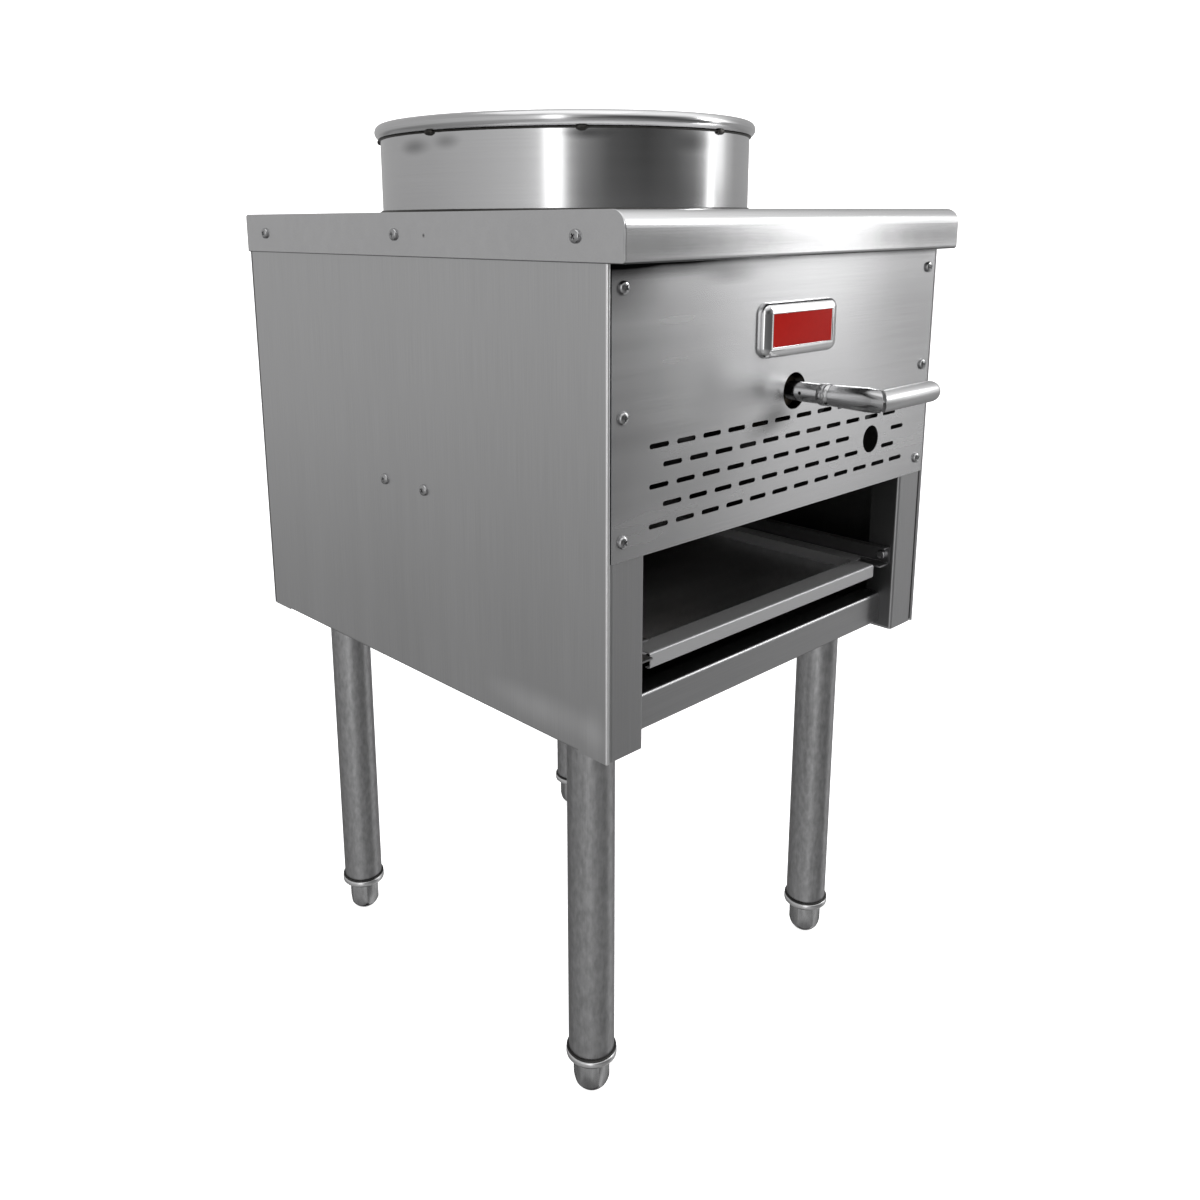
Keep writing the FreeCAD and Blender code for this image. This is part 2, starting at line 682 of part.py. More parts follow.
def rear_left_post():
    """Rear post: the same channel open to the front, behind the end of the base rail."""
    front = REAR_POST_Y - POST_DEPTH
    plan = [
        (-POST_OUTER_X, front, 0),
        (-POST_OUTER_X, REAR_POST_Y, BEND_RADIUS),
        (-POST_INNER_X, REAR_POST_Y, BEND_RADIUS),
        (-POST_INNER_X, front, 0),
    ]
    post = folded("xy", BASE_RAIL_BOTTOM, TOP_UNDERSIDE - BASE_RAIL_BOTTOM, FRAME_SHEET, plan)
    back_spots = [spot for spot in back_screw_spots() if spot.x < 0]
    post = drilled(post, back_spots, Y_AXIS, SCREW_HOLE_RADIUS, SCREW_LENGTH)
    return drilled(post, rail_bolt_spots(-1)[1:], X_AXIS, BOLT_HOLE_RADIUS, FRAME_SHEET * 3)


def rear_right_post():
    """Rear post on the gas inlet's side, with a hole for the pipe."""
    return inlet_drilled(mirrored(rear_left_post()))


def cross_member(face_y, inward):
    """Channel between two posts, with its web at face_y and its flanges pointing inward."""
    top = CROSS_BOTTOM + CROSS_HEIGHT
    tip = face_y + inward * CROSS_FLANGE
    section = [
        (tip, CROSS_BOTTOM, 0),
        (face_y, CROSS_BOTTOM, BEND_RADIUS),
        (face_y, top, BEND_RADIUS),
        (tip, top, 0),
    ]
    if inward < 0:
        section.reverse()
    return folded("yz", -POST_INNER_X, 2 * POST_INNER_X, FRAME_SHEET, section)


def left_base_rail():
    """Angle along the bottom of one side, wide enough to carry the leg sockets."""
    reach = LEG_INSET_SIDE + SOCKET_PLATE / 2 + BASE_RAIL_MARGIN
    section = [
        (-SIDE_X + reach, BASE_RAIL_BOTTOM, 0),
        (-SIDE_INNER_X, BASE_RAIL_BOTTOM, BEND_RADIUS),
        (-SIDE_INNER_X, BASE_RAIL_BOTTOM + BASE_RAIL_HEIGHT, 0),
    ]
    return folded("xz", BASE_START_Y, BASE_END_Y - BASE_START_Y, BASE_SHEET, section)


def bottom_panel():
    """Flat sheet on the base rails, between the cross members."""
    half = SIDE_INNER_X - BASE_SHEET - BEND_RADIUS
    start = FRONT_CROSS_Y + CROSS_FLANGE + SHEET_GAP
    end = min(REAR_CROSS_Y - CROSS_FLANGE - SHEET_GAP, BASE_END_Y)
    return block(-half, half, start, end, CROSS_BOTTOM, CROSS_BOTTOM + PANEL_SHEET)


# Wok ring and fire chamber

def wok_ring_wall():
    """Rolled wall standing on the top panel."""
    return pipe(
        Vector(0, RING_Y, TOP_HEIGHT),
        Vector(0, RING_Y, RIM_Z - RIM_BAR_RADIUS),
        RING_RADIUS,
        RING_RADIUS - RING_WALL,
    )


def wok_ring_rim():
    """Round bar rolled into a hoop on the wall's upper edge."""
    hoop = Part.makeTorus(RING_RADIUS - RING_WALL / 2, RIM_BAR_RADIUS)
    hoop.translate(Vector(0, RING_Y, RIM_Z))
    return hoop


def fire_chamber():
    """Flanged cylinder hung under the top panel, around the flames."""
    inner = CHAMBER_RADIUS - CHAMBER_WALL
    low = BURNER_Z + CHAMBER_ABOVE_BURNER
    profile = [
        (inner, low, 0),
        (CHAMBER_RADIUS, low, 0),
        (CHAMBER_RADIUS, TOP_UNDERSIDE - CHAMBER_WALL, BEND_RADIUS),
        (CHAMBER_RADIUS + CHAMBER_FLANGE, TOP_UNDERSIDE - CHAMBER_WALL, 0),
        (CHAMBER_RADIUS + CHAMBER_FLANGE, TOP_UNDERSIDE, 0),
        (inner, TOP_UNDERSIDE, 0),
    ]
    return turned(profile, Vector(0, RING_Y, 0), Z_AXIS)


# Nameplate

def rounded_plate(width, height, corner, z, y, depth):
    """Flat plate with rounded corners, its front at y and its back depth behind it."""
    corners = [
        (-width / 2, z - height / 2, corner),
        (width / 2, z - height / 2, corner),
        (width / 2, z + height / 2, corner),
        (-width / 2, z + height / 2, corner),
    ]
    return prism("xz", y, corners, depth)


def nameplate_bezel():
    """Raised frame with a rounded front edge and a shallow recess."""
    z = TOP_HEIGHT - PLATE_DROP
    front = FRONT_Y - PLATE_DEPTH
    frame = rounded_plate(PLATE_WIDTH, PLATE_HEIGHT, PLATE_CORNER, z, front, PLATE_DEPTH)
    rim = [edge for edge in frame.Edges if edge.BoundBox.YMax < front + 1e-4]
    edge_limit = min(PLATE_DEPTH, PLATE_CORNER) * ROUNDING_SHARE
    frame = frame.makeFillet(min(PLATE_EDGE, edge_limit), rim)
    return frame.cut(rounded_plate(INSERT_WIDTH, INSERT_HEIGHT, INSERT_CORNER, z, front, INSERT_RECESS))


def nameplate_insert():
    """Coloured plate in the bezel's recess."""
    z = TOP_HEIGHT - PLATE_DROP
    seat = FRONT_Y - PLATE_DEPTH + INSERT_RECESS
    width = INSERT_WIDTH - 2 * SHEET_GAP
    height = INSERT_HEIGHT - 2 * SHEET_GAP
    return rounded_plate(width, height, INSERT_CORNER - SHEET_GAP, z, seat - INSERT_SHEET, INSERT_SHEET)


# Drip tray and rails

def left_tray_rail():
    """Channel open to the middle, with a wide lower flange for the tray to run on."""
    top = RAIL_BOTTOM + RAIL_HEIGHT
    section = [
        (-POST_INNER_X + RAIL_BOTTOM_FLANGE, RAIL_BOTTOM, 0),
        (-POST_INNER_X, RAIL_BOTTOM, BEND_RADIUS),
        (-POST_INNER_X, top, BEND_RADIUS),
        (-POST_INNER_X + RAIL_TOP_FLANGE, top, 0),
    ]
    start = FRONT_Y + RAIL_SETBACK
    rail = folded("xz", start, REAR_POST_Y - RAIL_SETBACK - start, FRAME_SHEET, section)
    return drilled(rail, rail_bolt_spots(-1), X_AXIS, BOLT_HOLE_RADIUS, FRAME_SHEET * 2)


def tray_top():
    """Height of the upper face of the tray's runners."""
    return RAIL_FLOOR + TRAY_GAP + TRAY_SHEET


def tray_plan(taken_in):
    """Corners of the tray's pan in plan, taken in by a distance."""
    half = POST_INNER_X - RAIL_BOTTOM_FLANGE - TRAY_PAN_GAP - taken_in
    front = FRONT_Y + TRAY_SETBACK + TRAY_FRONT_BAND + taken_in
    rear = REAR_POST_Y - POST_DEPTH - TRAY_REAR_GAP - TRAY_REAR_BAND - taken_in
    corner = TRAY_CORNER - taken_in
    return [(-half, front, corner), (half, front, corner), (half, rear, corner), (-half, rear, corner)]


def drip_tray():
    """Tray frame: flat runners on the rails, the walls of a sunk pan and a hemmed lip along the front."""
    top = tray_top()
    half = RAIL_WEB_X - TRAY_SIDE_GAP
    pan_half = POST_INNER_X - RAIL_BOTTOM_FLANGE - TRAY_PAN_GAP
    front = FRONT_Y + TRAY_SETBACK
    rear = REAR_POST_Y - POST_DEPTH - TRAY_REAR_GAP
    pan_front = front + TRAY_FRONT_BAND
    runner_plan = [
        (-half, pan_front, TRAY_CORNER),
        (half, pan_front, TRAY_CORNER),
        (half, rear, TRAY_CORNER),
        (-half, rear, TRAY_CORNER),
    ]
    runners = prism("xy", top - TRAY_SHEET, runner_plan, TRAY_SHEET)
    lip_section = [
        (front + TRAY_HEM, top - TRAY_LIP, 0),
        (front, top - TRAY_LIP, BEND_RADIUS),
        (front, top, BEND_RADIUS),
        (pan_front + TRAY_CORNER, top, 0),
    ]
    lip = folded("yz", -pan_half, 2 * pan_half, TRAY_SHEET, lip_section)
    bottom = top - TRAY_PAN_DEPTH - TRAY_SHEET
    walls = prism("xy", bottom, tray_plan(0), top - bottom)
    hollow = prism("xy", bottom - TRAY_SHEET, tray_plan(TRAY_SHEET), top - bottom + 2 * TRAY_SHEET)
    return runners.fuse([lip, walls]).cut(hollow).removeSplitter()


def drip_tray_floor():
    """Bottom sheet of the tray, let in between the feet of the pan's walls."""
    return prism("xy", tray_top() - TRAY_PAN_DEPTH - TRAY_SHEET, tray_plan(TRAY_SHEET), TRAY_SHEET)


# Legs and feet

def leg_places():
    """Names and floor points of the four legs."""
    places = []
    for depth_name, y in (("front", LEG_FRONT_Y), ("rear", LEG_BACK_Y)):
        for side_name, side in (("left", -1), ("right", 1)):
            places.append((depth_name + "_" + side_name, Vector(side * LEG_X, y, 0)))
    return places


def leg_socket(spot):
    """Plate under the base rail with a stub that the leg slides over."""
    half = SOCKET_PLATE / 2
    plate = block(spot.x - half, spot.x + half, spot.y - half, spot.y + half, LEG_TOP, SOCKET_TOP)
    stub_radius = LEG_RADIUS - LEG_WALL - SOCKET_GAP
    stub = pipe(
        spot + Z_AXIS * (LEG_TOP - SOCKET_LENGTH),
        spot + Z_AXIS * LEG_TOP,
        stub_radius,
        stub_radius - SOCKET_WALL,
    )
    return plate.fuse(stub)


def leg(spot):
    """Tube leg between its socket plate and its foot insert."""
    return pipe(spot + Z_AXIS * LEG_BOTTOM, spot + Z_AXIS * LEG_TOP, LEG_RADIUS, LEG_RADIUS - LEG_WALL)


def foot_insert(spot):
    """Collared plug in the leg's end, bored for the foot's stem."""
    plug_radius = LEG_RADIUS - LEG_WALL - SOCKET_GAP
    bore = FOOT_STEM_RADIUS + STEM_GAP
    profile = [
        (bore, FOOT_HEIGHT, 0),
        (COLLAR_RADIUS, FOOT_HEIGHT, COLLAR_EDGE),
        (COLLAR_RADIUS, LEG_BOTTOM, COLLAR_EDGE),
        (plug_radius, LEG_BOTTOM, 0),
        (plug_radius, LEG_BOTTOM + INSERT_PLUG_LENGTH, 0),
        (bore, LEG_BOTTOM + INSERT_PLUG_LENGTH, 0),
    ]
    return turned(profile, spot, Z_AXIS)


def foot(spot):
    """Bullet foot with the stem that screws into the insert."""
    profile = [
        (0, 0, 0),
        (FOOT_RADIUS, 0, FOOT_TIP_RADIUS),
        (FOOT_RADIUS, FOOT_HEIGHT - 2 * FOOT_NECK, 0),
        (FOOT_RADIUS - FOOT_NECK, FOOT_HEIGHT - FOOT_NECK, 0),
        (FOOT_RADIUS - FOOT_NECK, FOOT_HEIGHT, 0),
        (FOOT_STEM_RADIUS, FOOT_HEIGHT, 0),
        (FOOT_STEM_RADIUS, FOOT_HEIGHT + FOOT_STEM_LENGTH, 0),
        (0, FOOT_HEIGHT + FOOT_STEM_LENGTH, 0),
    ]
    return turned(profile, spot, Z_AXIS)


# Gas valve and handle

def ahead(distance, x=0.0):
    """Point on the valve's axis, at a distance in front of the control panel."""
    return Vector(x, FRONT_Y - distance, VALVE_Z)


def valve_body():
    """Valve body: a barrel along the stem, a side port for the supply and a bottom port for the burner."""
    centre = Vector(0, VALVE_Y, VALVE_Z)
    half = Y_AXIS * VALVE_HALF_LENGTH
    side = centre + X_AXIS * PORT_REACH
    bottom = centre - Z_AXIS * PORT_REACH
    body = rod(centre - half, centre + half, VALVE_RADIUS)
    body = body.fuse([rod(centre, side, PORT_RADIUS), rod(centre, bottom, PORT_RADIUS)])
    plug_half = Y_AXIS * (PLUG_HALF_LENGTH + TURNING_GAP)
    tools = [rod(centre - half, centre + plug_half, PLUG_RADIUS + TURNING_GAP)]
    for port, axis in ((side, X_AXIS), (bottom, Z_AXIS * -1)):
        tools.append(rod(centre, port, PLUG_PORT_RADIUS))
        tools.append(rod(port - axis * PORT_SOCKET_DEPTH, port, TUBE_RADIUS + TUBE_FIT))
    return body.cut(tools).removeSplitter()


def valve_bonnet():
    """Cap on the front of the valve body, bored for the stem."""
    seat = VALVE_HALF_LENGTH
    bore = VALVE_STEM_RADIUS + TURNING_GAP
    spigot = PLUG_RADIUS - TURNING_GAP
    profile = [
        (bore, PLUG_HALF_LENGTH + TURNING_GAP, 0),
        (spigot, PLUG_HALF_LENGTH + TURNING_GAP, 0),
        (spigot, seat, 0),
        (VALVE_RADIUS, seat, 0),
        (VALVE_RADIUS, seat + BONNET_EDGE * 2, BONNET_EDGE),
        (BONNET_RADIUS, seat + BONNET_EDGE * 2, 0),
        (BONNET_RADIUS, seat + BONNET_LENGTH, BONNET_EDGE),
        (bore, seat + BONNET_LENGTH, 0),
    ]
    return turned(profile, Vector(0, VALVE_Y, VALVE_Z), Y_AXIS * -1)


def valve_plug():
    """Plug and stem in one, with the bent port that joins the two pipe ports when the handle is down."""
    centre = Vector(0, VALVE_Y, VALVE_Z)
    half = Y_AXIS * PLUG_HALF_LENGTH
    plug = rod(centre - half, centre + half, PLUG_RADIUS)
    plug = plug.fuse(rod(centre - half, ahead(STEM_END), VALVE_STEM_RADIUS))
    reach = PLUG_RADIUS * 2
    ports = [rod(centre, centre + axis * reach, PLUG_PORT_RADIUS) for axis in (X_AXIS, Z_AXIS)]
    return plug.cut(ports).removeSplitter()


def handle_sleeve():
    """Sleeve over the valve stem, with a set screw's hole on its left side."""
    sleeve = rod(ahead(SLEEVE_START), ahead(SLEEVE_REACH), SLEEVE_RADIUS)
    bore_end = ahead(STEM_END + HANDLE_FIT)
    sleeve = sleeve.cut(rod(ahead(SLEEVE_START), bore_end, VALVE_STEM_RADIUS + HANDLE_FIT))
    hole = rod(ahead(SLEEVE_HOLE_AT), ahead(SLEEVE_HOLE_AT, -SLEEVE_RADIUS * 2), SLEEVE_HOLE_RADIUS)
    return sleeve.cut(hole)


def handle_collar():
    """Coupling collar between the sleeve and the barrel, cross-drilled for its pin."""
    profile = [
        (SHANK_RADIUS + HANDLE_FIT, COLLAR_START, 0),
        (HANDLE_COLLAR_RADIUS, COLLAR_START, HANDLE_COLLAR_EDGE),
        (HANDLE_COLLAR_RADIUS, BARREL_START, HANDLE_COLLAR_EDGE),
        (SHANK_RADIUS + HANDLE_FIT, BARREL_START, 0),
    ]
    collar = turned(profile, ahead(0), Y_AXIS * -1)
    return drilled(collar, [ahead(PIN_AT)], X_AXIS, PIN_RADIUS + HANDLE_FIT, HANDLE_COLLAR_RADIUS * 2)


def handle_pin():
    """Cross pin with a domed head at each end."""
    seat = HANDLE_COLLAR_RADIUS
    tip = seat + PIN_HEAD_HEIGHT
    profile = [
        (0, -tip, 0),
        (PIN_HEAD_RADIUS, -tip, PIN_HEAD_HEIGHT * ROUNDING_SHARE),
        (PIN_HEAD_RADIUS, -seat, 0),
        (PIN_RADIUS, -seat, 0),
        (PIN_RADIUS, seat, 0),
        (PIN_HEAD_RADIUS, seat, 0),
        (PIN_HEAD_RADIUS, tip, PIN_HEAD_HEIGHT * ROUNDING_SHARE),
        (0, tip, 0),
    ]
    return turned(profile, ahead(PIN_AT), X_AXIS)


def handle_barrel():
    """Tapered tube over the lever's straight end."""
    bore = LEVER_RADIUS + HANDLE_FIT
    profile = [
        (bore, BARREL_START, 0),
        (bore + BARREL_START_WALL, BARREL_START, 0),
        (bore + BARREL_END_WALL, BARREL_END, BARREL_END_WALL * ROUNDING_SHARE),
        (bore, BARREL_END, 0),
    ]
    return turned(profile, ahead(0), Y_AXIS * -1)


def handle_lever():
    """Round lever: a shank in the collar, a tight bend and a straight arm with a domed end."""
    corner = ahead(LEVER_OUT)
    arm_end = corner + X_AXIS * (LEVER_LENGTH - LEVER_RADIUS)
    bend = LEVER_RADIUS + LEVER_INNER_BEND
    lever = bent_tube([ahead(BARREL_START), corner, arm_end], bend, LEVER_RADIUS, 0)
    shank = rod(ahead(COLLAR_START), ahead(BARREL_START), SHANK_RADIUS)
    lever = lever.fuse([shank, Part.makeSphere(LEVER_RADIUS, arm_end)]).removeSplitter()
    return drilled(lever, [ahead(PIN_AT)], X_AXIS, PIN_RADIUS + HANDLE_FIT, HANDLE_COLLAR_RADIUS)


# Gas train

def gas_inlet_pipe():
    """Pipe from behind the back panel to the union, its outer end turned down for the thread."""
    stop = FRONT_Y + UNION_SETBACK + UNION_LENGTH / 2 + UNION_STOP / 2
    end = BACK_Y + INLET_REACH
    bore = INLET_PIPE_RADIUS - INLET_PIPE_WALL
    thread = INLET_PIPE_RADIUS - INLET_THREAD_STEP
    profile = [
        (bore, stop, 0),
        (INLET_PIPE_RADIUS, stop, 0),
        (INLET_PIPE_RADIUS, end - INLET_THREAD_LENGTH, 0),
        (thread, end - INLET_THREAD_LENGTH, 0),
        (thread, end, 0),
        (bore, end, 0),
    ]
    return turned(profile, Vector(PIPE_X, 0, BURNER_Z), Y_AXIS)


def gas_union():
    """Six-sided coupling between the inlet pipe and the supply tube."""
    start = FRONT_Y + UNION_SETBACK
    hexagon = Part.makePolygon([
        Vector(
            PIPE_X + UNION_RADIUS * math.cos(math.radians(60 * side)), start,
            BURNER_Z + UNION_RADIUS * math.sin(math.radians(60 * side)),
        )
        for side in range(7)
    ])
    body = Part.Face(hexagon).extrude(Y_AXIS * UNION_LENGTH)
    front = Vector(PIPE_X, start, BURNER_Z)
    middle = front + Y_AXIS * (UNION_LENGTH / 2)
    half_stop = Y_AXIS * (UNION_STOP / 2)
    tools = [
        rod(front, front + Y_AXIS * UNION_LENGTH, TUBE_BORE),
        rod(front, middle - half_stop, TUBE_RADIUS + TUBE_FIT),
        rod(middle + half_stop, front + Y_AXIS * UNION_LENGTH, INLET_PIPE_RADIUS + TUBE_FIT),
    ]
    return body.cut(tools)


def gas_supply_tube():
    """Bent tube from the union up to the valve's side port."""
    start = Vector(PIPE_X, FRONT_Y + UNION_SETBACK + UNION_LENGTH / 2 - UNION_STOP / 2, BURNER_Z)
    points = [
        start,
        Vector(PIPE_X, VALVE_Y, BURNER_Z),
        Vector(PIPE_X, VALVE_Y, VALVE_Z),
        Vector(PORT_REACH - PORT_SOCKET_DEPTH, VALVE_Y, VALVE_Z),
    ]
    return bent_tube(points, TUBE_BEND, TUBE_RADIUS, TUBE_BORE)


def burner_boss_y():
    """Front face of the burner's inlet boss."""
    return RING_Y - BURNER_RING_RADIUS - BURNER_RING_WIDTH / 2 - BURNER_BOSS_REACH


def burner_feed_tube():
    """Bent tube from the valve's bottom port to the burner's inlet boss."""
    points = [
        Vector(0, VALVE_Y, VALVE_Z - PORT_REACH + PORT_SOCKET_DEPTH),
        Vector(0, VALVE_Y, BURNER_Z),
        Vector(0, burner_boss_y() + PORT_SOCKET_DEPTH, BURNER_Z),
    ]
    return bent_tube(points, TUBE_BEND, TUBE_RADIUS, TUBE_BORE)


# Burner and pilot

def burner_support():
    """Bar across the cabinet with an upright tab at each end, screwed to the side panels."""
    bottom = SUPPORT_TOP - SUPPORT_SHEET
    section = [
        (SIDE_INNER_X, bottom + SUPPORT_TAB, 0),
        (SIDE_INNER_X, bottom, BEND_RADIUS),
        (-SIDE_INNER_X, bottom, BEND_RADIUS),
        (-SIDE_INNER_X, bottom + SUPPORT_TAB, 0),
    ]
    bar = folded("xz", SUPPORT_Y - SUPPORT_WIDTH / 2, SUPPORT_WIDTH, SUPPORT_SHEET, section)
    tab_spots = support_screw_spots(-1, SIDE_INNER_X) + support_screw_spots(1, SIDE_INNER_X)
    bar = drilled(bar, tab_spots, X_AXIS, SCREW_HOLE_RADIUS, SUPPORT_SHEET * 2)
    depth = BURNER_FOOT_SHEET + SUPPORT_SHEET * 2
    return drilled(bar, burner_bolt_spots(), Z_AXIS, BOLT_HOLE_RADIUS, depth)


def burner_bolt_spots():
    """Points on the burner's foot where its bolts' heads sit."""
    height = SUPPORT_TOP + BURNER_FOOT_SHEET
    return [Vector(side * BURNER_BOLT_X, RING_Y, height) for side in (-1, 1)]


def burner_head():
    """Casting: a flanged foot, a hub, a ring channel on arms and an inlet boss at the front."""
    low = BURNER_Z - BURNER_BODY_HEIGHT / 2
    half = BURNER_RING_WIDTH / 2
    hub_profile = [
        (0, SUPPORT_TOP, 0),
        (BURNER_FOOT_RADIUS, SUPPORT_TOP, 0),
        (BURNER_FOOT_RADIUS, SUPPORT_TOP + BURNER_FOOT_SHEET, BURNER_NECK_EDGE),
        (BURNER_NECK_RADIUS, SUPPORT_TOP + BURNER_FOOT_SHEET, BURNER_NECK_EDGE),
        (BURNER_NECK_RADIUS, low, BURNER_NECK_EDGE),
        (BURNER_HUB_RADIUS, low, BURNER_NECK_EDGE),
        (BURNER_HUB_RADIUS, BURNER_TOP, BURNER_EDGE),
        (0, BURNER_TOP, 0),
    ]
    ring_profile = [
        (BURNER_RING_RADIUS - half, low, BURNER_EDGE),
        (BURNER_RING_RADIUS + half, low, BURNER_EDGE),
        (BURNER_RING_RADIUS + half, BURNER_TOP, BURNER_EDGE),
        (BURNER_RING_RADIUS - half, BURNER_TOP, BURNER_EDGE),
    ]
    centre = Vector(0, RING_Y, 0)
    hub = turned(hub_profile, centre, Z_AXIS)
    pieces = [turned(ring_profile, centre, Z_AXIS)]
    arm_half = BURNER_ARM_WIDTH / 2
    arm_top = BURNER_TOP - BURNER_EDGE
    arm_low = low + BURNER_EDGE
    for index in range(BURNER_ARMS):
        arm_section = [
            (-arm_half, arm_low, BURNER_EDGE),
            (arm_half, arm_low, BURNER_EDGE),
            (arm_half, arm_top, BURNER_EDGE),
            (-arm_half, arm_top, BURNER_EDGE),
        ]
        arm = prism("xz", 0, arm_section, BURNER_RING_RADIUS)
        arm.rotate(Vector(0, 0, 0), Z_AXIS, 360 / BURNER_ARMS * index)
        arm.translate(centre)
        pieces.append(arm)
    boss_face = Vector(0, burner_boss_y(), BURNER_Z)
    pieces.append(rod(boss_face, Vector(0, RING_Y - BURNER_RING_RADIUS, BURNER_Z), BURNER_BOSS_RADIUS))
    head = hub.fuse(pieces).removeSplitter()
    socket = rod(boss_face, boss_face + Y_AXIS * PORT_SOCKET_DEPTH, TUBE_RADIUS + TUBE_FIT)
    head = head.cut(socket)
    return drilled(head, burner_bolt_spots(), Z_AXIS, BOLT_HOLE_RADIUS, BURNER_FOOT_SHEET + BOLT_EDGE)


def jet(spot):
    """Screwed jet: a six-sided base, a tapered nozzle and its bore."""
    turns = [math.radians(60 * side) for side in range(7)]
    corners = [spot + Vector(math.cos(turn), math.sin(turn), 0) * JET_HEX_RADIUS for turn in turns]
    hexagon = Part.makePolygon(corners)
    base = Part.Face(hexagon).extrude(Z_AXIS * JET_HEX_HEIGHT)
    seat = spot + Z_AXIS * JET_HEX_HEIGHT
    nozzle = Part.makeCone(JET_BASE_RADIUS, JET_TIP_RADIUS, JET_CONE_HEIGHT, seat, Z_AXIS)
    tip = seat + Z_AXIS * JET_CONE_HEIGHT
    return base.fuse(nozzle).cut(rod(seat, tip, JET_BORE_RADIUS))


def burner_jets():
    """All jets: a circle of them on the burner's ring and one on its hub."""
    spots = [Vector(0, RING_Y, BURNER_TOP)]
    for index in range(JETS_ON_RING):
        angle = math.radians(360 / JETS_ON_RING * (index + 0.5))
        across = BURNER_RING_RADIUS * math.cos(angle)
        along = BURNER_RING_RADIUS * math.sin(angle)
        spots.append(Vector(across, RING_Y + along, BURNER_TOP))
    return Part.makeCompound([jet(spot) for spot in spots])


def pilot_front():
    """Front face of the pilot valve's body."""
    return Vector(PILOT_X, VALVE_Y - TUBE_RADIUS - PILOT_BODY_REACH, VALVE_Z)


def pilot_valve():
    """Small valve clamped on the supply tube, its screw to the front and its outlet below."""
    centre = Vector(PILOT_X, VALVE_Y, VALVE_Z)
    half = X_AXIS * (PILOT_CLAMP_WIDTH / 2)
    outlet_y = pilot_front().y + PILOT_SCREW_DEPTH + PILOT_TUBE_RADIUS
    outlet = Vector(PILOT_X, outlet_y, VALVE_Z)
    clamp = rod(centre - half, centre + half, TUBE_RADIUS + PILOT_CLAMP_WALL)
    body = rod(pilot_front(), centre, PILOT_BODY_RADIUS)
    stub = rod(outlet, outlet - Z_AXIS * PILOT_DROP, PILOT_TUBE_RADIUS + PILOT_CLAMP_WALL / 2)
    solid = clamp.fuse([body, stub])
    tools = [
        rod(centre - half, centre + half, TUBE_RADIUS + TUBE_FIT),
        rod(pilot_front(), pilot_front() + Y_AXIS * PILOT_SCREW_DEPTH, PILOT_SCREW_RADIUS + TURNING_GAP),
        rod(outlet - Z_AXIS * (PILOT_DROP / 2), outlet - Z_AXIS * PILOT_DROP, PILOT_TUBE_RADIUS + TUBE_FIT),
    ]
    return solid.cut(tools).removeSplitter()


def pilot_screw():
    """Slotted quarter-turn screw in the front of the pilot valve."""
    profile = [
        (0, PILOT_SCREW_HEAD, 0),
        (PILOT_SCREW_HEAD_RADIUS, PILOT_SCREW_HEAD, PILOT_SCREW_EDGE),
        (PILOT_SCREW_HEAD_RADIUS, TURNING_GAP, 0),
        (PILOT_SCREW_RADIUS, TURNING_GAP, 0),
        (PILOT_SCREW_RADIUS, TURNING_GAP - PILOT_SCREW_DEPTH + PILOT_SLOT, 0),
        (0, TURNING_GAP - PILOT_SCREW_DEPTH + PILOT_SLOT, 0),
    ]
    screw = turned(profile, pilot_front(), Y_AXIS * -1)
    face = pilot_front() - Y_AXIS * PILOT_SCREW_HEAD
    half = PILOT_SLOT / 2
    wide = PILOT_SCREW_HEAD_RADIUS * 2
    front, rear = face.y - half, face.y + PILOT_SLOT
    slot = block(face.x - wide, face.x + wide, front, rear, face.z - half, face.z + half)
    return screw.cut(slot)


def pilot_burner_place():
    """Floor point under the pilot burner."""
    return Vector(PILOT_X, RING_Y - PILOT_AHEAD, 0)


def pilot_tube():
    """Thin tube from the pilot valve's outlet back to the pilot burner."""
    outlet_y = pilot_front().y + PILOT_SCREW_DEPTH + PILOT_TUBE_RADIUS
    level = BURNER_Z + PILOT_TUBE_RISE
    points = [
        Vector(PILOT_X, outlet_y, VALVE_Z - PILOT_DROP / 2),
        Vector(PILOT_X, outlet_y, level),
        Vector(PILOT_X, pilot_burner_place().y - PILOT_BURNER_RADIUS, level),
    ]
    return bent_tube(points, PILOT_TUBE_BEND, PILOT_TUBE_RADIUS, 0)


def pilot_burner():
    """Pilot head on a bent bracket that stands on the burner support."""
    spot = pilot_burner_place()
    level = BURNER_Z + PILOT_TUBE_RISE
    low = level - PILOT_TUBE_RADIUS * 2
    head = rod(spot + Z_AXIS * low, spot + Z_AXIS * (low + PILOT_BURNER_HEIGHT), PILOT_BURNER_RADIUS)
    mouth = spot + Z_AXIS * (low + PILOT_BURNER_HEIGHT)
    port = rod(mouth - Z_AXIS * PILOT_PORT_DEPTH, mouth, PILOT_PORT_RADIUS)
    sheet = PILOT_BRACKET_SHEET
    upright = spot.y + sheet / 2
    section = [
        (upright + PILOT_BRACKET_FOOT, SUPPORT_TOP, 0),
        (upright - sheet, SUPPORT_TOP, BEND_RADIUS),
        (upright - sheet, low + PILOT_TUBE_RADIUS, 0),
    ]
    bracket = folded("yz", spot.x - PILOT_BRACKET_WIDTH / 2, PILOT_BRACKET_WIDTH, sheet, section)
    return head.cut(port).fuse(bracket).removeSplitter()


# Fasteners

def sheet_screws():
    """Equal screws that hold the control panel, the back panel and, through the sides, the burner support."""
    screws = [pan_screw(spot, Y_AXIS, SCREW_LENGTH) for spot in panel_screw_spots()]
    screws += [pan_screw(spot, Y_AXIS * -1, SCREW_LENGTH) for spot in back_screw_spots()]
    for side in (-1, 1):
        spots = support_screw_spots(side, SIDE_X)
        screws += [pan_screw(spot, X_AXIS * -side, SCREW_LENGTH) for spot in spots]
    return Part.makeCompound(screws)


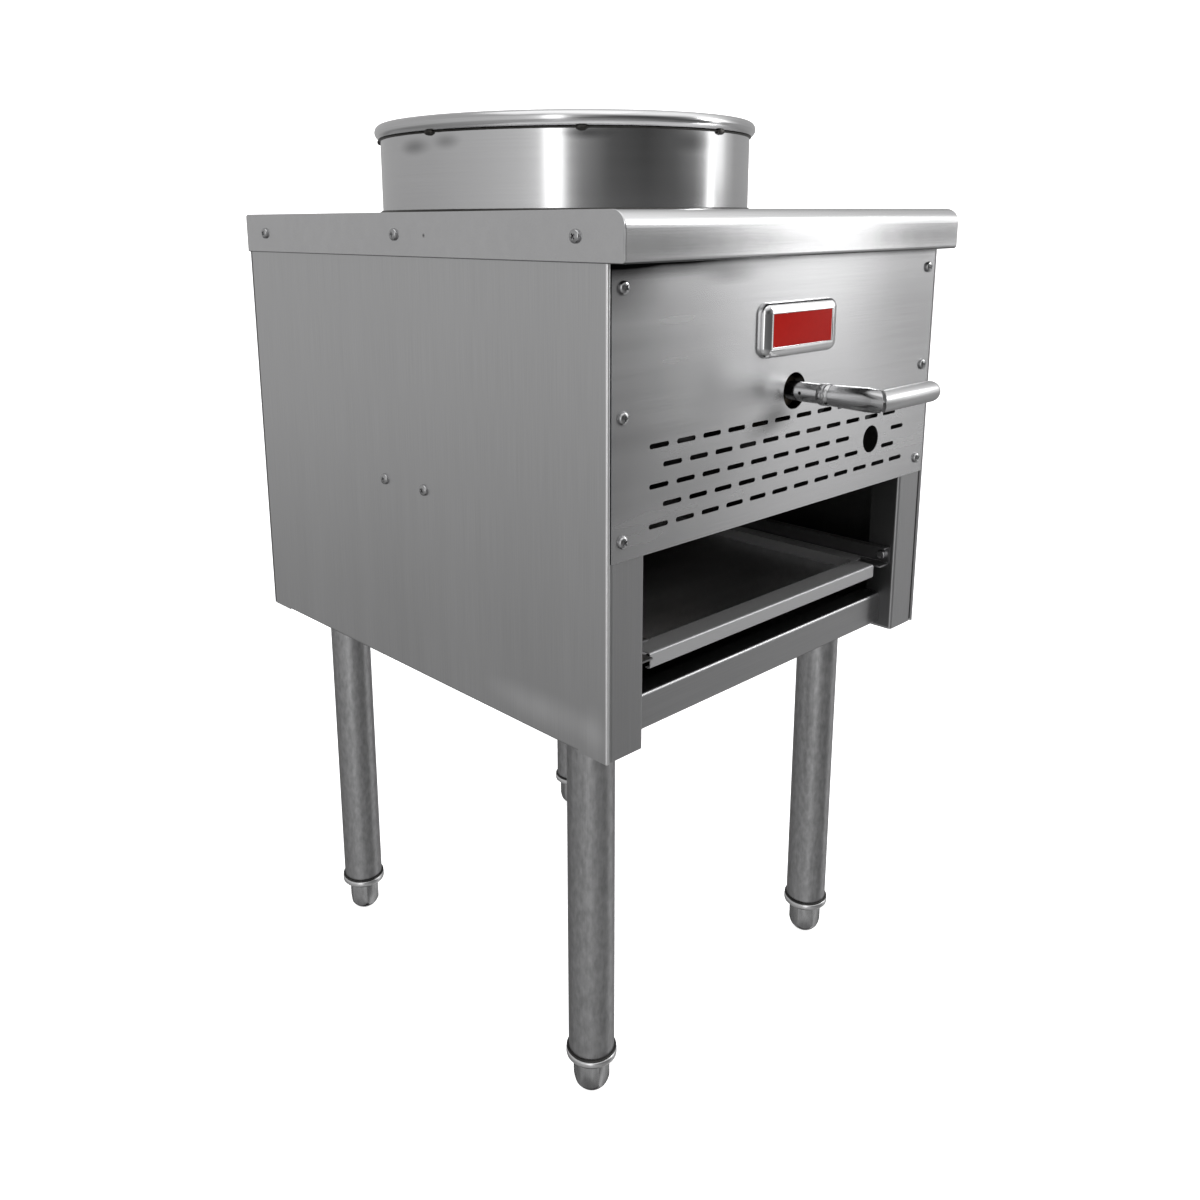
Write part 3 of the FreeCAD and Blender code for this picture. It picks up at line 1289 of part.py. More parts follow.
def top_screws():
    """Screws through the top panel's side flanges."""
    x = SIDE_X + SHEET_GAP + TOP_SHEET
    screws = []
    for side in (-1, 1):
        screws += [pan_screw(spot, X_AXIS * -side, TOP_SCREW_LENGTH) for spot in top_screw_spots(side, x)]
    return Part.makeCompound(screws)


def rail_bolts():
    """Bolts that hold the tray rails to the posts."""
    bolts = []
    for side in (-1, 1):
        bolts += [through_bolt(spot, X_AXIS * side, 2 * FRAME_SHEET) for spot in rail_bolt_spots(side)]
    return Part.makeCompound(bolts)


def burner_bolts():
    """Bolts that hold the burner's foot to its support."""
    grip = BURNER_FOOT_SHEET + SUPPORT_SHEET
    return Part.makeCompound([through_bolt(spot, Z_AXIS * -1, grip) for spot in burner_bolt_spots()])


# All pieces by name

PIECES = {
    "left_side_panel": left_side_panel(),
    "right_side_panel": right_side_panel(),
    "back_panel": back_panel(),
    "top_panel": top_panel(),
    "control_panel": control_panel(),
    "front_left_post": front_left_post(),
    "front_right_post": mirrored(front_left_post()),
    "rear_left_post": rear_left_post(),
    "rear_right_post": rear_right_post(),
    "front_cross_member": cross_member(FRONT_CROSS_Y, 1),
    "rear_cross_member": cross_member(REAR_CROSS_Y, -1),
    "left_base_rail": left_base_rail(),
    "right_base_rail": mirrored(left_base_rail()),
    "bottom_panel": bottom_panel(),
    "wok_ring_wall": wok_ring_wall(),
    "wok_ring_rim": wok_ring_rim(),
    "fire_chamber": fire_chamber(),
    "nameplate_bezel": nameplate_bezel(),
    "nameplate_insert": nameplate_insert(),
    "left_tray_rail": left_tray_rail(),
    "right_tray_rail": mirrored(left_tray_rail()),
    "drip_tray": drip_tray(),
    "drip_tray_floor": drip_tray_floor(),
    "leg_sockets": Part.makeCompound([leg_socket(spot) for _, spot in leg_places()]),
    "valve_body": valve_body(),
    "valve_bonnet": valve_bonnet(),
    "valve_plug": valve_plug(),
    "handle_sleeve": handle_sleeve(),
    "handle_collar": handle_collar(),
    "handle_pin": handle_pin(),
    "handle_barrel": handle_barrel(),
    "handle_lever": handle_lever(),
    "gas_inlet_pipe": gas_inlet_pipe(),
    "gas_union": gas_union(),
    "gas_supply_tube": gas_supply_tube(),
    "burner_feed_tube": burner_feed_tube(),
    "burner_support": burner_support(),
    "burner_head": burner_head(),
    "burner_jets": burner_jets(),
    "pilot_valve": pilot_valve(),
    "pilot_screw": pilot_screw(),
    "pilot_tube": pilot_tube(),
    "pilot_burner": pilot_burner(),
    "sheet_screws": sheet_screws(),
    "top_screws": top_screws(),
    "rail_bolts": rail_bolts(),
    "burner_bolts": burner_bolts(),
}
for place, spot in leg_places():
    PIECES[place + "_leg"] = leg(spot)
    PIECES[place + "_foot_insert"] = foot_insert(spot)
    PIECES[place + "_foot"] = foot(spot)

os.makedirs("parts", exist_ok=True)
for node, shape in PIECES.items():
    shape.exportStep("parts/" + node + ".step")
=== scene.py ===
"""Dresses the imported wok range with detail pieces, finishes, studio and camera, in metres."""

import logging
import math
from collections.abc import Callable, Iterable, Mapping, Sequence
from dataclasses import dataclass
from enum import Enum
from functools import lru_cache, partial, reduce

import bmesh
import bpy
from mathutils import Matrix, Vector


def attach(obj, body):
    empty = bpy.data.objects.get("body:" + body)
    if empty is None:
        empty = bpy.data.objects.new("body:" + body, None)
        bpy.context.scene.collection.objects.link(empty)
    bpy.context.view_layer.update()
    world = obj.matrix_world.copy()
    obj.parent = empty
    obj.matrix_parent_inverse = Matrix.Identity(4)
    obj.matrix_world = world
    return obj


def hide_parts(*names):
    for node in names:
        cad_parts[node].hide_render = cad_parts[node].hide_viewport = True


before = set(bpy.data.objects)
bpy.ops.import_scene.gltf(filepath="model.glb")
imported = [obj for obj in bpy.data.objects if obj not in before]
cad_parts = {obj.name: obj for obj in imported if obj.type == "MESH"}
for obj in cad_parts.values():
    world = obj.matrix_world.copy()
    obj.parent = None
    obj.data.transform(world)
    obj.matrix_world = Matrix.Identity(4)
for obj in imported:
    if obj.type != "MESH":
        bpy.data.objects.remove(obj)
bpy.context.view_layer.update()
LOG = logging.getLogger("wok_range")

Pair = tuple[float, float]
Triple = tuple[float, float, float]
Outline = tuple[Pair, ...]
Socket = bpy.types.NodeSocket
Source = Socket | float | Sequence[float]
X_AXIS = Vector((1, 0, 0))
Y_AXIS = Vector((0, 1, 0))
Z_AXIS = Vector((0, 0, 1))

# Outer faces of the cabinet
FRONT_Y = -0.229
LIP_Y = -0.2477
TOP_Z = 0.800
SIDE_X = 0.2285
SIDES = (-1, 1)

# Box within the cabinet's sheets, which painted shade darkens
INSIDE_HALF_WIDTH = 0.2280
INSIDE_FRONT = -0.2287
INSIDE_BACK = 0.2920
INSIDE_BOTTOM = 0.3808
INSIDE_TOP = 0.7992
POST_INSIDE_FRONT = -0.2262
CROSS_INSIDE_FRONT = -0.2115
PAINTED_SHADE_EDGE = 0.998
FACING_DOWN = (-0.3, -0.8)

# Turn of a brushed sheet's reflections, as a share of a full turn
UPRIGHT = 0.25

COOL_TINT = 0.005
PAINTED_SHADE_DEPTH = 0.02

# How closely a direction or a place has to agree when edges and faces are picked
ALIGNED = 0.9
SQUARE_ON = 0.99
TINY = 1e-5

# Angle from which an edge counts as sharp
SHARP = math.radians(35)

# Shape of a thread's ridge, as shares of its depth and its pitch
RIDGE_SUNK = 0.2
RIDGE_HALF_WIDTH = 0.46


class Grain(Enum):
    """Direction that a metal surface was worked in, as noise scales along X, Y and Z."""

    ALONG_X = (14.0, 1300.0, 1300.0)
    ALONG_Y = (1300.0, 14.0, 1300.0)
    ALONG_Z = (1300.0, 1300.0, 14.0)
    TURNED_Z = (9.0, 9.0, 1500.0)


# Finishes

class NodeBoard:
    """A node tree, with short ways to add the nodes that the finishes share."""

    def __init__(self, tree: bpy.types.NodeTree) -> None:
        """Works on the node tree of a material or a world."""
        self.tree = tree

    def feed(self, socket: Socket, source: Source) -> None:
        """Links a socket to another one, or sets its value.

        Args:
            socket: Input to feed.
            source: Output to link, or a plain value.
        """
        if isinstance(source, Socket):
            self.tree.links.new(source, socket)
        else:
            socket.default_value = source

    def add(self, kind: str, inputs: Mapping[str | int, Source], **settings: object) -> bpy.types.Node:
        """Adds a node and feeds it.

        Args:
            kind: Blender's type name of the node, without ShaderNode.
            inputs: What goes into its inputs, by name or number.
            settings: Properties to set on it.

        Returns:
            The new node.
        """
        node = self.tree.nodes.new("ShaderNode" + kind)
        for key, value in settings.items():
            setattr(node, key, value)
        for key, source in inputs.items():
            self.feed(node.inputs[key], source)
        return node

    def place(self) -> Socket:
        """Object coordinates of the shaded point."""
        return self.add("TexCoord", {}).outputs["Object"]

    def noise(self, scales: Triple, detail: float = 2.0, size: float = 1.0) -> Socket:
        """Noise on object coordinates.

        Args:
            scales: Waves per metre along each axis.
            detail: Number of finer layers.
            size: Factor on all three scales.

        Returns:
            Output between 0 and 1.
        """
        mapping = self.add("Mapping", {"Vector": self.place(), "Scale": [scale * size for scale in scales]})
        spot = mapping.outputs["Vector"]
        return self.add("TexNoise", {"Vector": spot, "Scale": 1.0, "Detail": detail}).outputs["Fac"]

    def math(self, operation: str, *values: Socket | float) -> Socket:
        """Applies one arithmetic operation to sockets or numbers."""
        return self.add("Math", dict(enumerate(values)), operation=operation).outputs["Value"]

    def swing(self, source: Socket, amount: float) -> Socket:
        """Turns a 0 to 1 signal into one that swings by an amount either side of zero."""
        return self.math("MULTIPLY_ADD", source, 2.0 * amount, -amount)

    def total(self, terms: Sequence[Socket | float]) -> Socket | float:
        """Adds up sockets and numbers."""
        return reduce(partial(self.math, "ADD"), terms)

    def ramped(self, source: Socket, low: float, high: float) -> Socket:
        """Smooth step from 0 to 1 as a signal goes from one value to another, either way round."""
        limits = {"Value": source, "From Min": low, "From Max": high}
        return self.add("MapRange", limits, interpolation_type="SMOOTHSTEP").outputs["Result"]

    def vector(self, operation: str, *values: Socket | Triple) -> Socket:
        """Applies one vector operation to sockets or triples."""
        node = self.add("VectorMath", dict(enumerate(values)), operation=operation)
        return node.outputs["Value" if operation == "LENGTH" else "Vector"]

    def parts(self, source: Socket) -> list[Socket]:
        """X, Y and Z of a vector."""
        return list(self.add("SeparateXYZ", {0: source}).outputs)

    def offset(self, centre: Triple, reach: Triple) -> Socket:
        """Way from a centre to the shaded point, as shares of a reach along each axis."""
        return self.vector("DIVIDE", self.vector("SUBTRACT", self.place(), centre), reach)

    def patch(self, centre: Triple, reach: Triple) -> Socket:
        """Soft spot that is 1 at its centre and 0 from its reach outwards."""
        return self.ramped(self.vector("LENGTH", self.offset(centre, reach)), 1.0, 0.0)

    def inside(self, front: float) -> Socket:
        """Mask that is 1 inside the cabinet and 0 outside it.

        Args:
            front: Where the inside starts along Y.

        Returns:
            Output between 0 and 1.
        """
        centre = (0.0, (front + INSIDE_BACK) / 2, (INSIDE_BOTTOM + INSIDE_TOP) / 2)
        half = (INSIDE_HALF_WIDTH, (INSIDE_BACK - front) / 2, (INSIDE_TOP - INSIDE_BOTTOM) / 2)
        x, y, z = self.parts(self.vector("ABSOLUTE", self.offset(centre, half)))
        return self.ramped(self.math("MAXIMUM", self.math("MAXIMUM", x, y), z), 1.0, PAINTED_SHADE_EDGE)

    def underside(self) -> Socket:
        """Mask that is 1 where a surface faces down."""
        normal = self.add("NewGeometry", {}).outputs["Normal"]
        return self.ramped(self.parts(normal)[2], *FACING_DOWN)

    def tinted(self, colour: Triple, shade: Socket) -> Socket:
        """Colour made lighter or darker by a factor."""
        return self.add("VectorMath", {0: colour, "Scale": shade}, operation="SCALE").outputs["Vector"]

    def blended(self, share: Socket, first: Socket | Triple, second: Socket | Triple) -> Socket:
        """Mixes two colours, each a socket or a triple."""
        ends = [colour if isinstance(colour, Socket) else (*colour, 1.0) for colour in (first, second)]
        return self.add("Mix", {0: share, 6: ends[0], 7: ends[1]}, data_type="RGBA").outputs[2]


class SurfaceBoard(NodeBoard):
    """Node board of a new material with a principled shader."""

    def __init__(self, name: str) -> None:
        """Starts the material.

        Args:
            name: Name of the material.
        """
        self.material = bpy.data.materials.new(name)
        self.material.use_nodes = True
        super().__init__(self.material.node_tree)
        self.shader = self.tree.nodes["Principled BSDF"]

    def set(self, name: str, source: Source) -> None:
        """Feeds one of the shader's inputs."""
        self.feed(self.shader.inputs[name], source)

    def bumped(self, height: Socket, strength: float, depth: float) -> None:
        """Roughens the surface by a share of a relief, from a signal and its height in metres."""
        bump = self.add("Bump", {"Strength": strength, "Distance": depth, "Height": height})
        self.set("Normal", bump.outputs["Normal"])


@dataclass(frozen=True)
class SmearAndPaintedLight:
    """Soft patch on a sheet, lighter or darker than the rest: a wiped, polished or heat-tinted mark, or
    painted shade, a painted shadow or a painted highlight.
    """

    centre: Triple
    reach: Triple
    change: float


@dataclass(frozen=True)
class WorkedSteel:
    """Steel with a grain: brushed sheet, drawn tube or turned bar."""

    name: str
    tint: Triple
    grain: Grain
    roughness: float
    grain_depth: float = 0.10
    streaks: float = 0.06
    clouds: float = 0.05
    relief: float = 0.12
    painted_shade: float = 0.0
    painted_shade_front: float = INSIDE_FRONT
    smears_and_painted_light: tuple[SmearAndPaintedLight, ...] = ()
    mottle: float = 0.0
    bare: float = 1.0
    stretch: float = 0.0
    streak_size: float = 0.06
    cloud_scales: Triple = (9.0, 9.0, 7.0)
    mottle_scales: Triple = (240.0, 240.0, 110.0)
    uneven: float = 0.04
    relief_depth: float = 0.0002

    def material(self) -> bpy.types.Material:
        """Builds the material.

        Returns:
            The material.
        """
        board = SurfaceBoard(self.name)
        fine = board.noise(self.grain.value, detail=3.0)
        wide = board.noise(self.grain.value, detail=2.0, size=self.streak_size)
        cloud = board.noise(self.cloud_scales, detail=4.0)
        terms = [1.0, board.swing(fine, self.grain_depth), board.swing(wide, self.streaks),
                 board.swing(cloud, self.clouds)]
        if self.mottle:
            terms.append(board.swing(board.noise(self.mottle_scales, detail=5.0), self.mottle))
        # Patches: real marks and painted shade, shadows and highlights, mottled by the cloud noise
        for smear_and_light in self.smears_and_painted_light:
            spot = board.math("MULTIPLY", board.patch(smear_and_light.centre, smear_and_light.reach), cloud)
            terms.append(board.math("MULTIPLY", spot, 2.0 * smear_and_light.change))
        # Painted shade: darkens the sheets inside the cabinet and wherever they face down, as under the
        # top's lip
        shade_mask = board.math("MAXIMUM", board.inside(self.painted_shade_front), board.underside())
        unshaded = board.math("MULTIPLY_ADD", shade_mask, -self.painted_shade, 1.0)
        board.set("Base Color", board.tinted(self.tint, board.math("MULTIPLY", board.total(terms), unshaded)))
        changes = [board.swing(signal, self.uneven) for signal in (wide, cloud)]
        board.set("Roughness", board.total([self.roughness, *changes]))
        board.set("Metallic", self.bare)
        board.set("Anisotropic", self.stretch)
        board.set("Anisotropic Rotation", UPRIGHT)
        board.bumped(fine, self.relief, self.relief_depth)
        return board.material


@dataclass(frozen=True)
class PlatedMetal:
    """Smooth plated or polished metal with faint wiping marks."""

    name: str
    tint: Triple
    roughness: float
    marks: float = 0.08
    cloud_scale: float = 60.0
    clouds: float = 0.05
    scuff_scales: Triple = (900.0, 120.0, 900.0)
    relief: float = 0.03
    relief_depth: float = 0.0004

    def material(self) -> bpy.types.Material:
        """Builds the material.

        Returns:
            The material.
        """
        board = SurfaceBoard(self.name)
        cloud = board.noise((self.cloud_scale,) * 3, detail=4.0)
        scuff = board.noise(self.scuff_scales, detail=2.0)
        board.set("Base Color", board.tinted(self.tint, board.total([1.0, board.swing(cloud, self.clouds)])))
        board.set("Roughness", board.total([self.roughness, board.math("MULTIPLY", scuff, self.marks)]))
        board.set("Metallic", 1.0)
        board.bumped(cloud, self.relief, self.relief_depth)
        return board.material


@dataclass(frozen=True)
class RoughMetal:
    """Cast, welded or tarnished metal: two colours in patches over a pitted surface."""

    name: str
    tint: Triple
    patch_tint: Triple
    roughness: float
    metallic: float = 1.0
    patch_scale: float = 60.0
    pit_scale: float = 700.0
    relief: float = 0.3
    relief_depth: float = 0.0006
    uneven: float = 0.12

    def material(self) -> bpy.types.Material:
        """Builds the material.

        Returns:
            The material.
        """
        board = SurfaceBoard(self.name)
        patches = board.noise((self.patch_scale,) * 3, detail=5.0)
        pits = board.noise((self.pit_scale,) * 3, detail=4.0)
        board.set("Base Color", board.blended(patches, self.tint, self.patch_tint))
        board.set("Roughness", board.total([self.roughness, board.swing(patches, self.uneven)]))
        board.set("Metallic", self.metallic)
        board.bumped(pits, self.relief, self.relief_depth)
        return board.material


@dataclass(frozen=True)
class Enamel:
    """Glossy coloured coat with slight waves and dust."""

    name: str
    tint: Triple
    roughness: float
    gloss: float
    wave_scale: float = 220.0
    waves: float = 0.10
    dust_scale: float = 1500.0
    dust: float = 0.06
    uneven: float = 0.08
    relief: float = 0.05
    relief_depth: float = 0.0003

    def material(self) -> bpy.types.Material:
        """Builds the material.

        Returns:
            The material.
        """
        board = SurfaceBoard(self.name)
        waves = board.noise((self.wave_scale,) * 3, detail=2.0)
        dust = board.noise((self.dust_scale,) * 3, detail=3.0)
        shade = board.total([1.0, board.swing(waves, self.waves), board.swing(dust, self.dust)])
        board.set("Base Color", board.tinted(self.tint, shade))
        board.set("Roughness", board.total([self.roughness, board.swing(dust, self.uneven)]))
        board.set("Specular IOR Level", self.gloss)
        board.bumped(waves, self.relief, self.relief_depth)
        return board.material


Finish = WorkedSteel | PlatedMetal | RoughMetal | Enamel


def grey(shade: float) -> Triple:
    """Colour of bare metal, a touch cooler than neutral."""
    return (shade, shade, shade + COOL_TINT)


def painted_shade_on_front(x: float, z: float, reach_x: float, reach_z: float, change: float) -> SmearAndPaintedLight:
    """Patch of painted shade on the control panel."""
    return SmearAndPaintedLight((x, FRONT_Y, z), (reach_x, PAINTED_SHADE_DEPTH, reach_z), change)


@lru_cache(maxsize=None)
def coat(finish: Finish) -> bpy.types.Material:
    """Material of a finish, built the first time it is asked for."""
    return finish.material()


SIDE_SHEET = WorkedSteel(
    "side_sheet", grey(0.60), Grain.ALONG_Z, 0.36, streaks=0.025, clouds=0.03, painted_shade=0.65,
    smears_and_painted_light=(SmearAndPaintedLight((-SIDE_X, -0.16, 0.402), (0.02, 0.09, 0.020), 0.30),
            SmearAndPaintedLight((-SIDE_X, -0.215, 0.40), (0.02, 0.02, 0.03), 0.25),
            # Painted highlight along the side sheet's front fold
            SmearAndPaintedLight((-SIDE_X, FRONT_Y, 0.600), (0.004, 0.0026, 0.80), 1.10)),
)
FRONT_SHEET = WorkedSteel(
    "front_sheet", grey(0.50), Grain.ALONG_X, 0.26, grain_depth=0.07, streaks=0.02, relief=0.015,
    painted_shade=0.65, stretch=0.70,
    # Painted shadow of the lip along the top of the panel, deepest under its left half and in the top left
    # corner
    smears_and_painted_light=(painted_shade_on_front(0.0, 0.7630, 1.00, 0.0060, -0.68),
            painted_shade_on_front(-0.15, 0.7600, 0.16, 0.0120, -0.45),
            # Darker streak under the lip, left of the middle
            painted_shade_on_front(-0.09, 0.7500, 0.05, 0.0100, -0.30),
            painted_shade_on_front(-0.224, 0.7560, 0.07, 0.0450, -0.50),
            # Painted shadow of the handle, left of and below its hole
            painted_shade_on_front(-0.024, 0.6300, 0.036, 0.0200, -0.40),
            painted_shade_on_front(-0.045, 0.6200, 0.030, 0.0160, -0.25),
            # Painted shade over the right part of the panel
            painted_shade_on_front(0.17, 0.7100, 0.12, 0.1000, -0.22)),
)
TOP_SHEET = WorkedSteel(
    "top_sheet", grey(0.62), Grain.ALONG_X, 0.22, streaks=0.04, clouds=0.04, painted_shade=0.85,
    smears_and_painted_light=(SmearAndPaintedLight((-0.2302, -0.015, 0.7808), (0.004, 0.0024, 0.0024), -0.8),
            # Painted shade on the lip's face, left and right of its bright middle
            SmearAndPaintedLight((-0.15, LIP_Y, 0.7760), (0.18, 0.003, 0.0200), -0.42),
            SmearAndPaintedLight((0.17, LIP_Y, 0.7760), (0.14, 0.003, 0.0200), -0.55)),
)
FRAME_STEEL = WorkedSteel(
    "frame_steel", grey(0.42), Grain.ALONG_Z, 0.44, streaks=0.03,
    painted_shade=0.60, painted_shade_front=POST_INSIDE_FRONT,
)
CROSS_STEEL = WorkedSteel(
    "cross_steel", grey(0.40), Grain.ALONG_X, 0.38, streaks=0.03,
    painted_shade=0.75, painted_shade_front=CROSS_INSIDE_FRONT,
)
# Painted shade: rails tinted darker for the shade inside the cabinet
SHADED_RAIL_STEEL = WorkedSteel("rail_steel_painted_shade", grey(0.30), Grain.ALONG_Y, 0.34)
RING_SHEET = WorkedSteel(
    "ring_sheet", grey(0.60), Grain.TURNED_Z, 0.15, grain_depth=0.04, streaks=0.02, relief=0.05,
    smears_and_painted_light=(SmearAndPaintedLight((-0.183, 0.060, 0.857), (0.03, 0.030, 0.010), -0.40),
            SmearAndPaintedLight((-0.178, 0.019, 0.860), (0.03, 0.020, 0.009), -0.35),
            SmearAndPaintedLight((-0.110, -0.088, 0.864), (0.03, 0.030, 0.007), -0.50),
            SmearAndPaintedLight((-0.016, -0.124, 0.858), (0.03, 0.020, 0.012), -0.40)),
)
RIM_BAR = WorkedSteel("rim_bar", grey(0.64), Grain.TURNED_Z, 0.16, relief=0.04)
CHAMBER_STEEL = RoughMetal("chamber_steel", (0.20, 0.19, 0.18), (0.34, 0.30, 0.27), 0.46, patch_scale=14.0)
TRAY_SHEET = WorkedSteel(
    "tray_sheet", grey(0.33), Grain.ALONG_X, 0.34, grain_depth=0.04, streaks=0.02, clouds=0.03,
    relief=0.04, bare=0.45,
)
TRAY_FLOOR = WorkedSteel(
    "tray_floor", grey(0.62), Grain.ALONG_X, 0.30, grain_depth=0.04, streaks=0.02, relief=0.04,
    # Painted shadow over the middle of the floor, and painted light on its front left
    smears_and_painted_light=(SmearAndPaintedLight((0.02, -0.02, 0.44), (0.16, 0.15, 0.05), -0.45),
            SmearAndPaintedLight((-0.10, -0.19, 0.44), (0.12, 0.08, 0.05), 0.35)),
)
LEG_TUBE = WorkedSteel("leg_tube", grey(0.44), Grain.ALONG_Z, 0.34, clouds=0.14, mottle=0.45)
FOOT_BAR = WorkedSteel("foot_bar", grey(0.50), Grain.ALONG_Z, 0.22, clouds=0.12, mottle=0.30)
COLLAR_BAR = WorkedSteel("collar_bar", grey(0.74), Grain.TURNED_Z, 0.32, mottle=0.15)
HANDLE_CHROME = PlatedMetal("handle_chrome", grey(0.54), 0.13)
LEVER_SATIN = WorkedSteel("lever_satin", grey(0.56), Grain.ALONG_X, 0.34)
BEZEL_CHROME = PlatedMetal("bezel_chrome", grey(0.74), 0.07)
PLATE_RED = Enamel("plate_red", (0.33, 0.006, 0.003), 0.50, gloss=0.08)
BRASS = RoughMetal("valve_brass", (0.62, 0.45, 0.18), (0.45, 0.31, 0.12), 0.30, relief=0.05)
# Painted shade: the valve's brass tinted dark for the shade behind the panel
SHADED_BRASS = RoughMetal("valve_brass_painted_shade", (0.07, 0.055, 0.035), (0.04, 0.035, 0.03), 0.50, relief=0.05)
BURNER_IRON = RoughMetal("burner_iron", (0.05, 0.05, 0.053), (0.12, 0.10, 0.09), 0.62, metallic=0.6)
PIPE_BLACK = RoughMetal(
    "pipe_black", (0.022, 0.022, 0.024), (0.045, 0.042, 0.04), 0.60, metallic=0.6, relief=0.08,
)
# Painted shade: tubes inside the cabinet tinted dark for the shade they sit in
SHADED_TUBE_STEEL = PlatedMetal("tube_steel", grey(0.20), 0.36)
SHADED_PILOT_ALUMINIUM = PlatedMetal("pilot_aluminium", grey(0.24), 0.42)
SCREW_STEEL = PlatedMetal("screw_steel", grey(0.46), 0.14)
WELD = RoughMetal(
    "weld_bead", (0.025, 0.024, 0.023), (0.10, 0.095, 0.09), 0.45, patch_scale=200.0, relief=0.25,
)
# Painted shade: the washer's dark tint stands for the shadow line between the collar and the end of the tube
WASHER_SHADE = RoughMetal(
    "washer_painted_shade", (0.030, 0.030, 0.031), (0.07, 0.068, 0.066), 0.55, metallic=0.8, relief=0.10,
)


def dress(nodes: Iterable[str], finish: Finish) -> None:
    """Gives CAD nodes a finish.

    Args:
        nodes: Names of the nodes.
        finish: What they are finished in.
    """
    for name in nodes:
        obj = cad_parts[name]
        if not obj.material_slots:
            obj.data.materials.append(None)
        for slot in obj.material_slots:
            slot.material = coat(finish)
        LOG.info("dressed %s in %s", name, finish.name)


# Modelling

class Piece:
    """One mesh, modelled from a primitive with edit-mode tools."""

    def __init__(self, name: str) -> None:
        """Takes over the object that an operator has just added.

        Args:
            name: Name of the piece.
        """
        self.obj = bpy.context.object
        self.obj.name = self.obj.data.name = name
        self.settle()

    @classmethod
    def plane(cls, name: str, size: float) -> "Piece":
        """Square sheet on the ground that faces up."""
        bpy.ops.mesh.primitive_plane_add(size=size)
        return cls(name)

    @classmethod
    def block(cls, name: str, centre: Triple, size: Triple) -> "Piece":
        """Box around a centre, ready to be shaped."""
        bpy.ops.mesh.primitive_cube_add(size=1.0, location=centre, scale=size)
        return cls(name)

    @classmethod
    def ball(cls, name: str, radius: float, scale: Triple) -> "Piece":
        """Ball about the origin, flattened by a scale."""
        bpy.ops.mesh.primitive_ico_sphere_add(subdivisions=4, radius=radius, scale=scale)
        return cls(name)

    @classmethod
    def disc(cls, name: str, centre: Vector, axis: Vector, radius: float, sides: int,
             filled: bool = True) -> "Piece":
        """Disc or open circle across an axis, left in edit mode with all of it selected.

        Args:
            name: Name of the piece.
            centre: Its centre.
            axis: Direction that it faces.
            radius: Its radius.
            sides: Number of sides.
            filled: Whether it has a face.

        Returns:
            The piece.
        """
        bpy.ops.mesh.primitive_circle_add(
            vertices=sides, radius=radius, fill_type="NGON" if filled else "NOTHING", location=centre,
            rotation=axis.to_track_quat("Z", "Y").to_euler(),
        )
        piece = cls(name)
        piece.enter()
        bpy.ops.mesh.select_mode(type="FACE" if filled else "EDGE")
        bpy.ops.mesh.select_all(action="SELECT")
        return piece

    @classmethod
    def turned(cls, name: str, origin: Triple, axis: Vector, rings: Sequence[Pair], sides: int = 64,
               hollow: bool = False) -> "Piece":
        """Turned bar or ring, grown from a disc by extruding and scaling, one step for each ring.

        Args:
            name: Name of the piece.
            origin: Point on the axis that distances start from.
            axis: Direction of the axis.
            rings: Distance along the axis and radius of each step, from end to end.
            sides: Number of sides.
            hollow: Whether the outline comes back to its start, so that a bore stays open.

        Returns:
            The piece.
        """
        start = Vector(origin)
        piece = cls.disc(name, start + axis * rings[0][0], axis, rings[0][1], sides, not hollow)
        steps = [*rings, rings[0]] if hollow else rings
        for (distance, radius), (next_distance, next_radius) in zip(steps, steps[1:]):
            piece.extrude(axis * (next_distance - distance))
            factor = next_radius / radius
            bpy.ops.transform.resize(value=(factor,) * 3, center_override=start + axis * next_distance)
        piece.tidy()
        piece.settle()
        return piece

    @classmethod
    def thread(cls, name: str, radius: float, depth: float, pitch: float, length: float) -> "Piece":
        """Helical ridge about Z that starts at the origin.

        Args:
            name: Name of the piece.
            radius: Radius of the core that it stands on.
            depth: Height of the ridge.
            pitch: Rise in one turn.
            length: Length that it stays within.

        Returns:
            The piece.
        """
        piece = cls.disc(name, X_AXIS * radius, Y_AXIS, depth, sides=3, filled=False)
        mesh = piece.enter()
        outer, lower, upper = mesh.verts
        outer.co = (radius + depth, 0, 0)
        lower.co = (radius - depth * RIDGE_SUNK, 0, -pitch * RIDGE_HALF_WIDTH)
        upper.co = (radius - depth * RIDGE_SUNK, 0, pitch * RIDGE_HALF_WIDTH)
        bmesh.update_edit_mesh(piece.obj.data)
        turns = int(length / pitch) - 1
        piece.modify("SCREW", axis="Z", steps=32, render_steps=32, screw_offset=pitch, iterations=turns)
        piece.tidy()
        bpy.ops.mesh.fill_holes(sides=4)
        piece.settle()
        return piece

    def modify(self, kind: str, **settings: object) -> None:
        """Adds a modifier and applies it.

        Args:
            kind: Blender's type name of the modifier.
            settings: Properties to set on it.
        """
        self.take()
        modifier = self.obj.modifiers.new(kind.lower(), kind)
        for key, value in settings.items():
            setattr(modifier, key, value)
        bpy.ops.object.modifier_apply(modifier=modifier.name)

    def enter(self) -> bmesh.types.BMesh:
        """Opens the mesh in edit mode.

        Returns:
            Its edit mesh.
        """
        if self.obj.mode != "EDIT":
            self.take()
            bpy.ops.object.mode_set(mode="EDIT")
        return bmesh.from_edit_mesh(self.obj.data)

    def take(self) -> None:
        """Goes to object mode and selects this piece alone."""
        if bpy.context.object and bpy.context.object.mode != "OBJECT":
            bpy.ops.object.mode_set(mode="OBJECT")
        bpy.ops.object.select_all(action="DESELECT")
        self.obj.select_set(True)
        bpy.context.view_layer.objects.active = self.obj

    def settle(self) -> None:
        """Leaves edit mode and puts the piece's place into its mesh."""
        self.take()
        bpy.ops.object.transform_apply(location=True, rotation=True, scale=True)

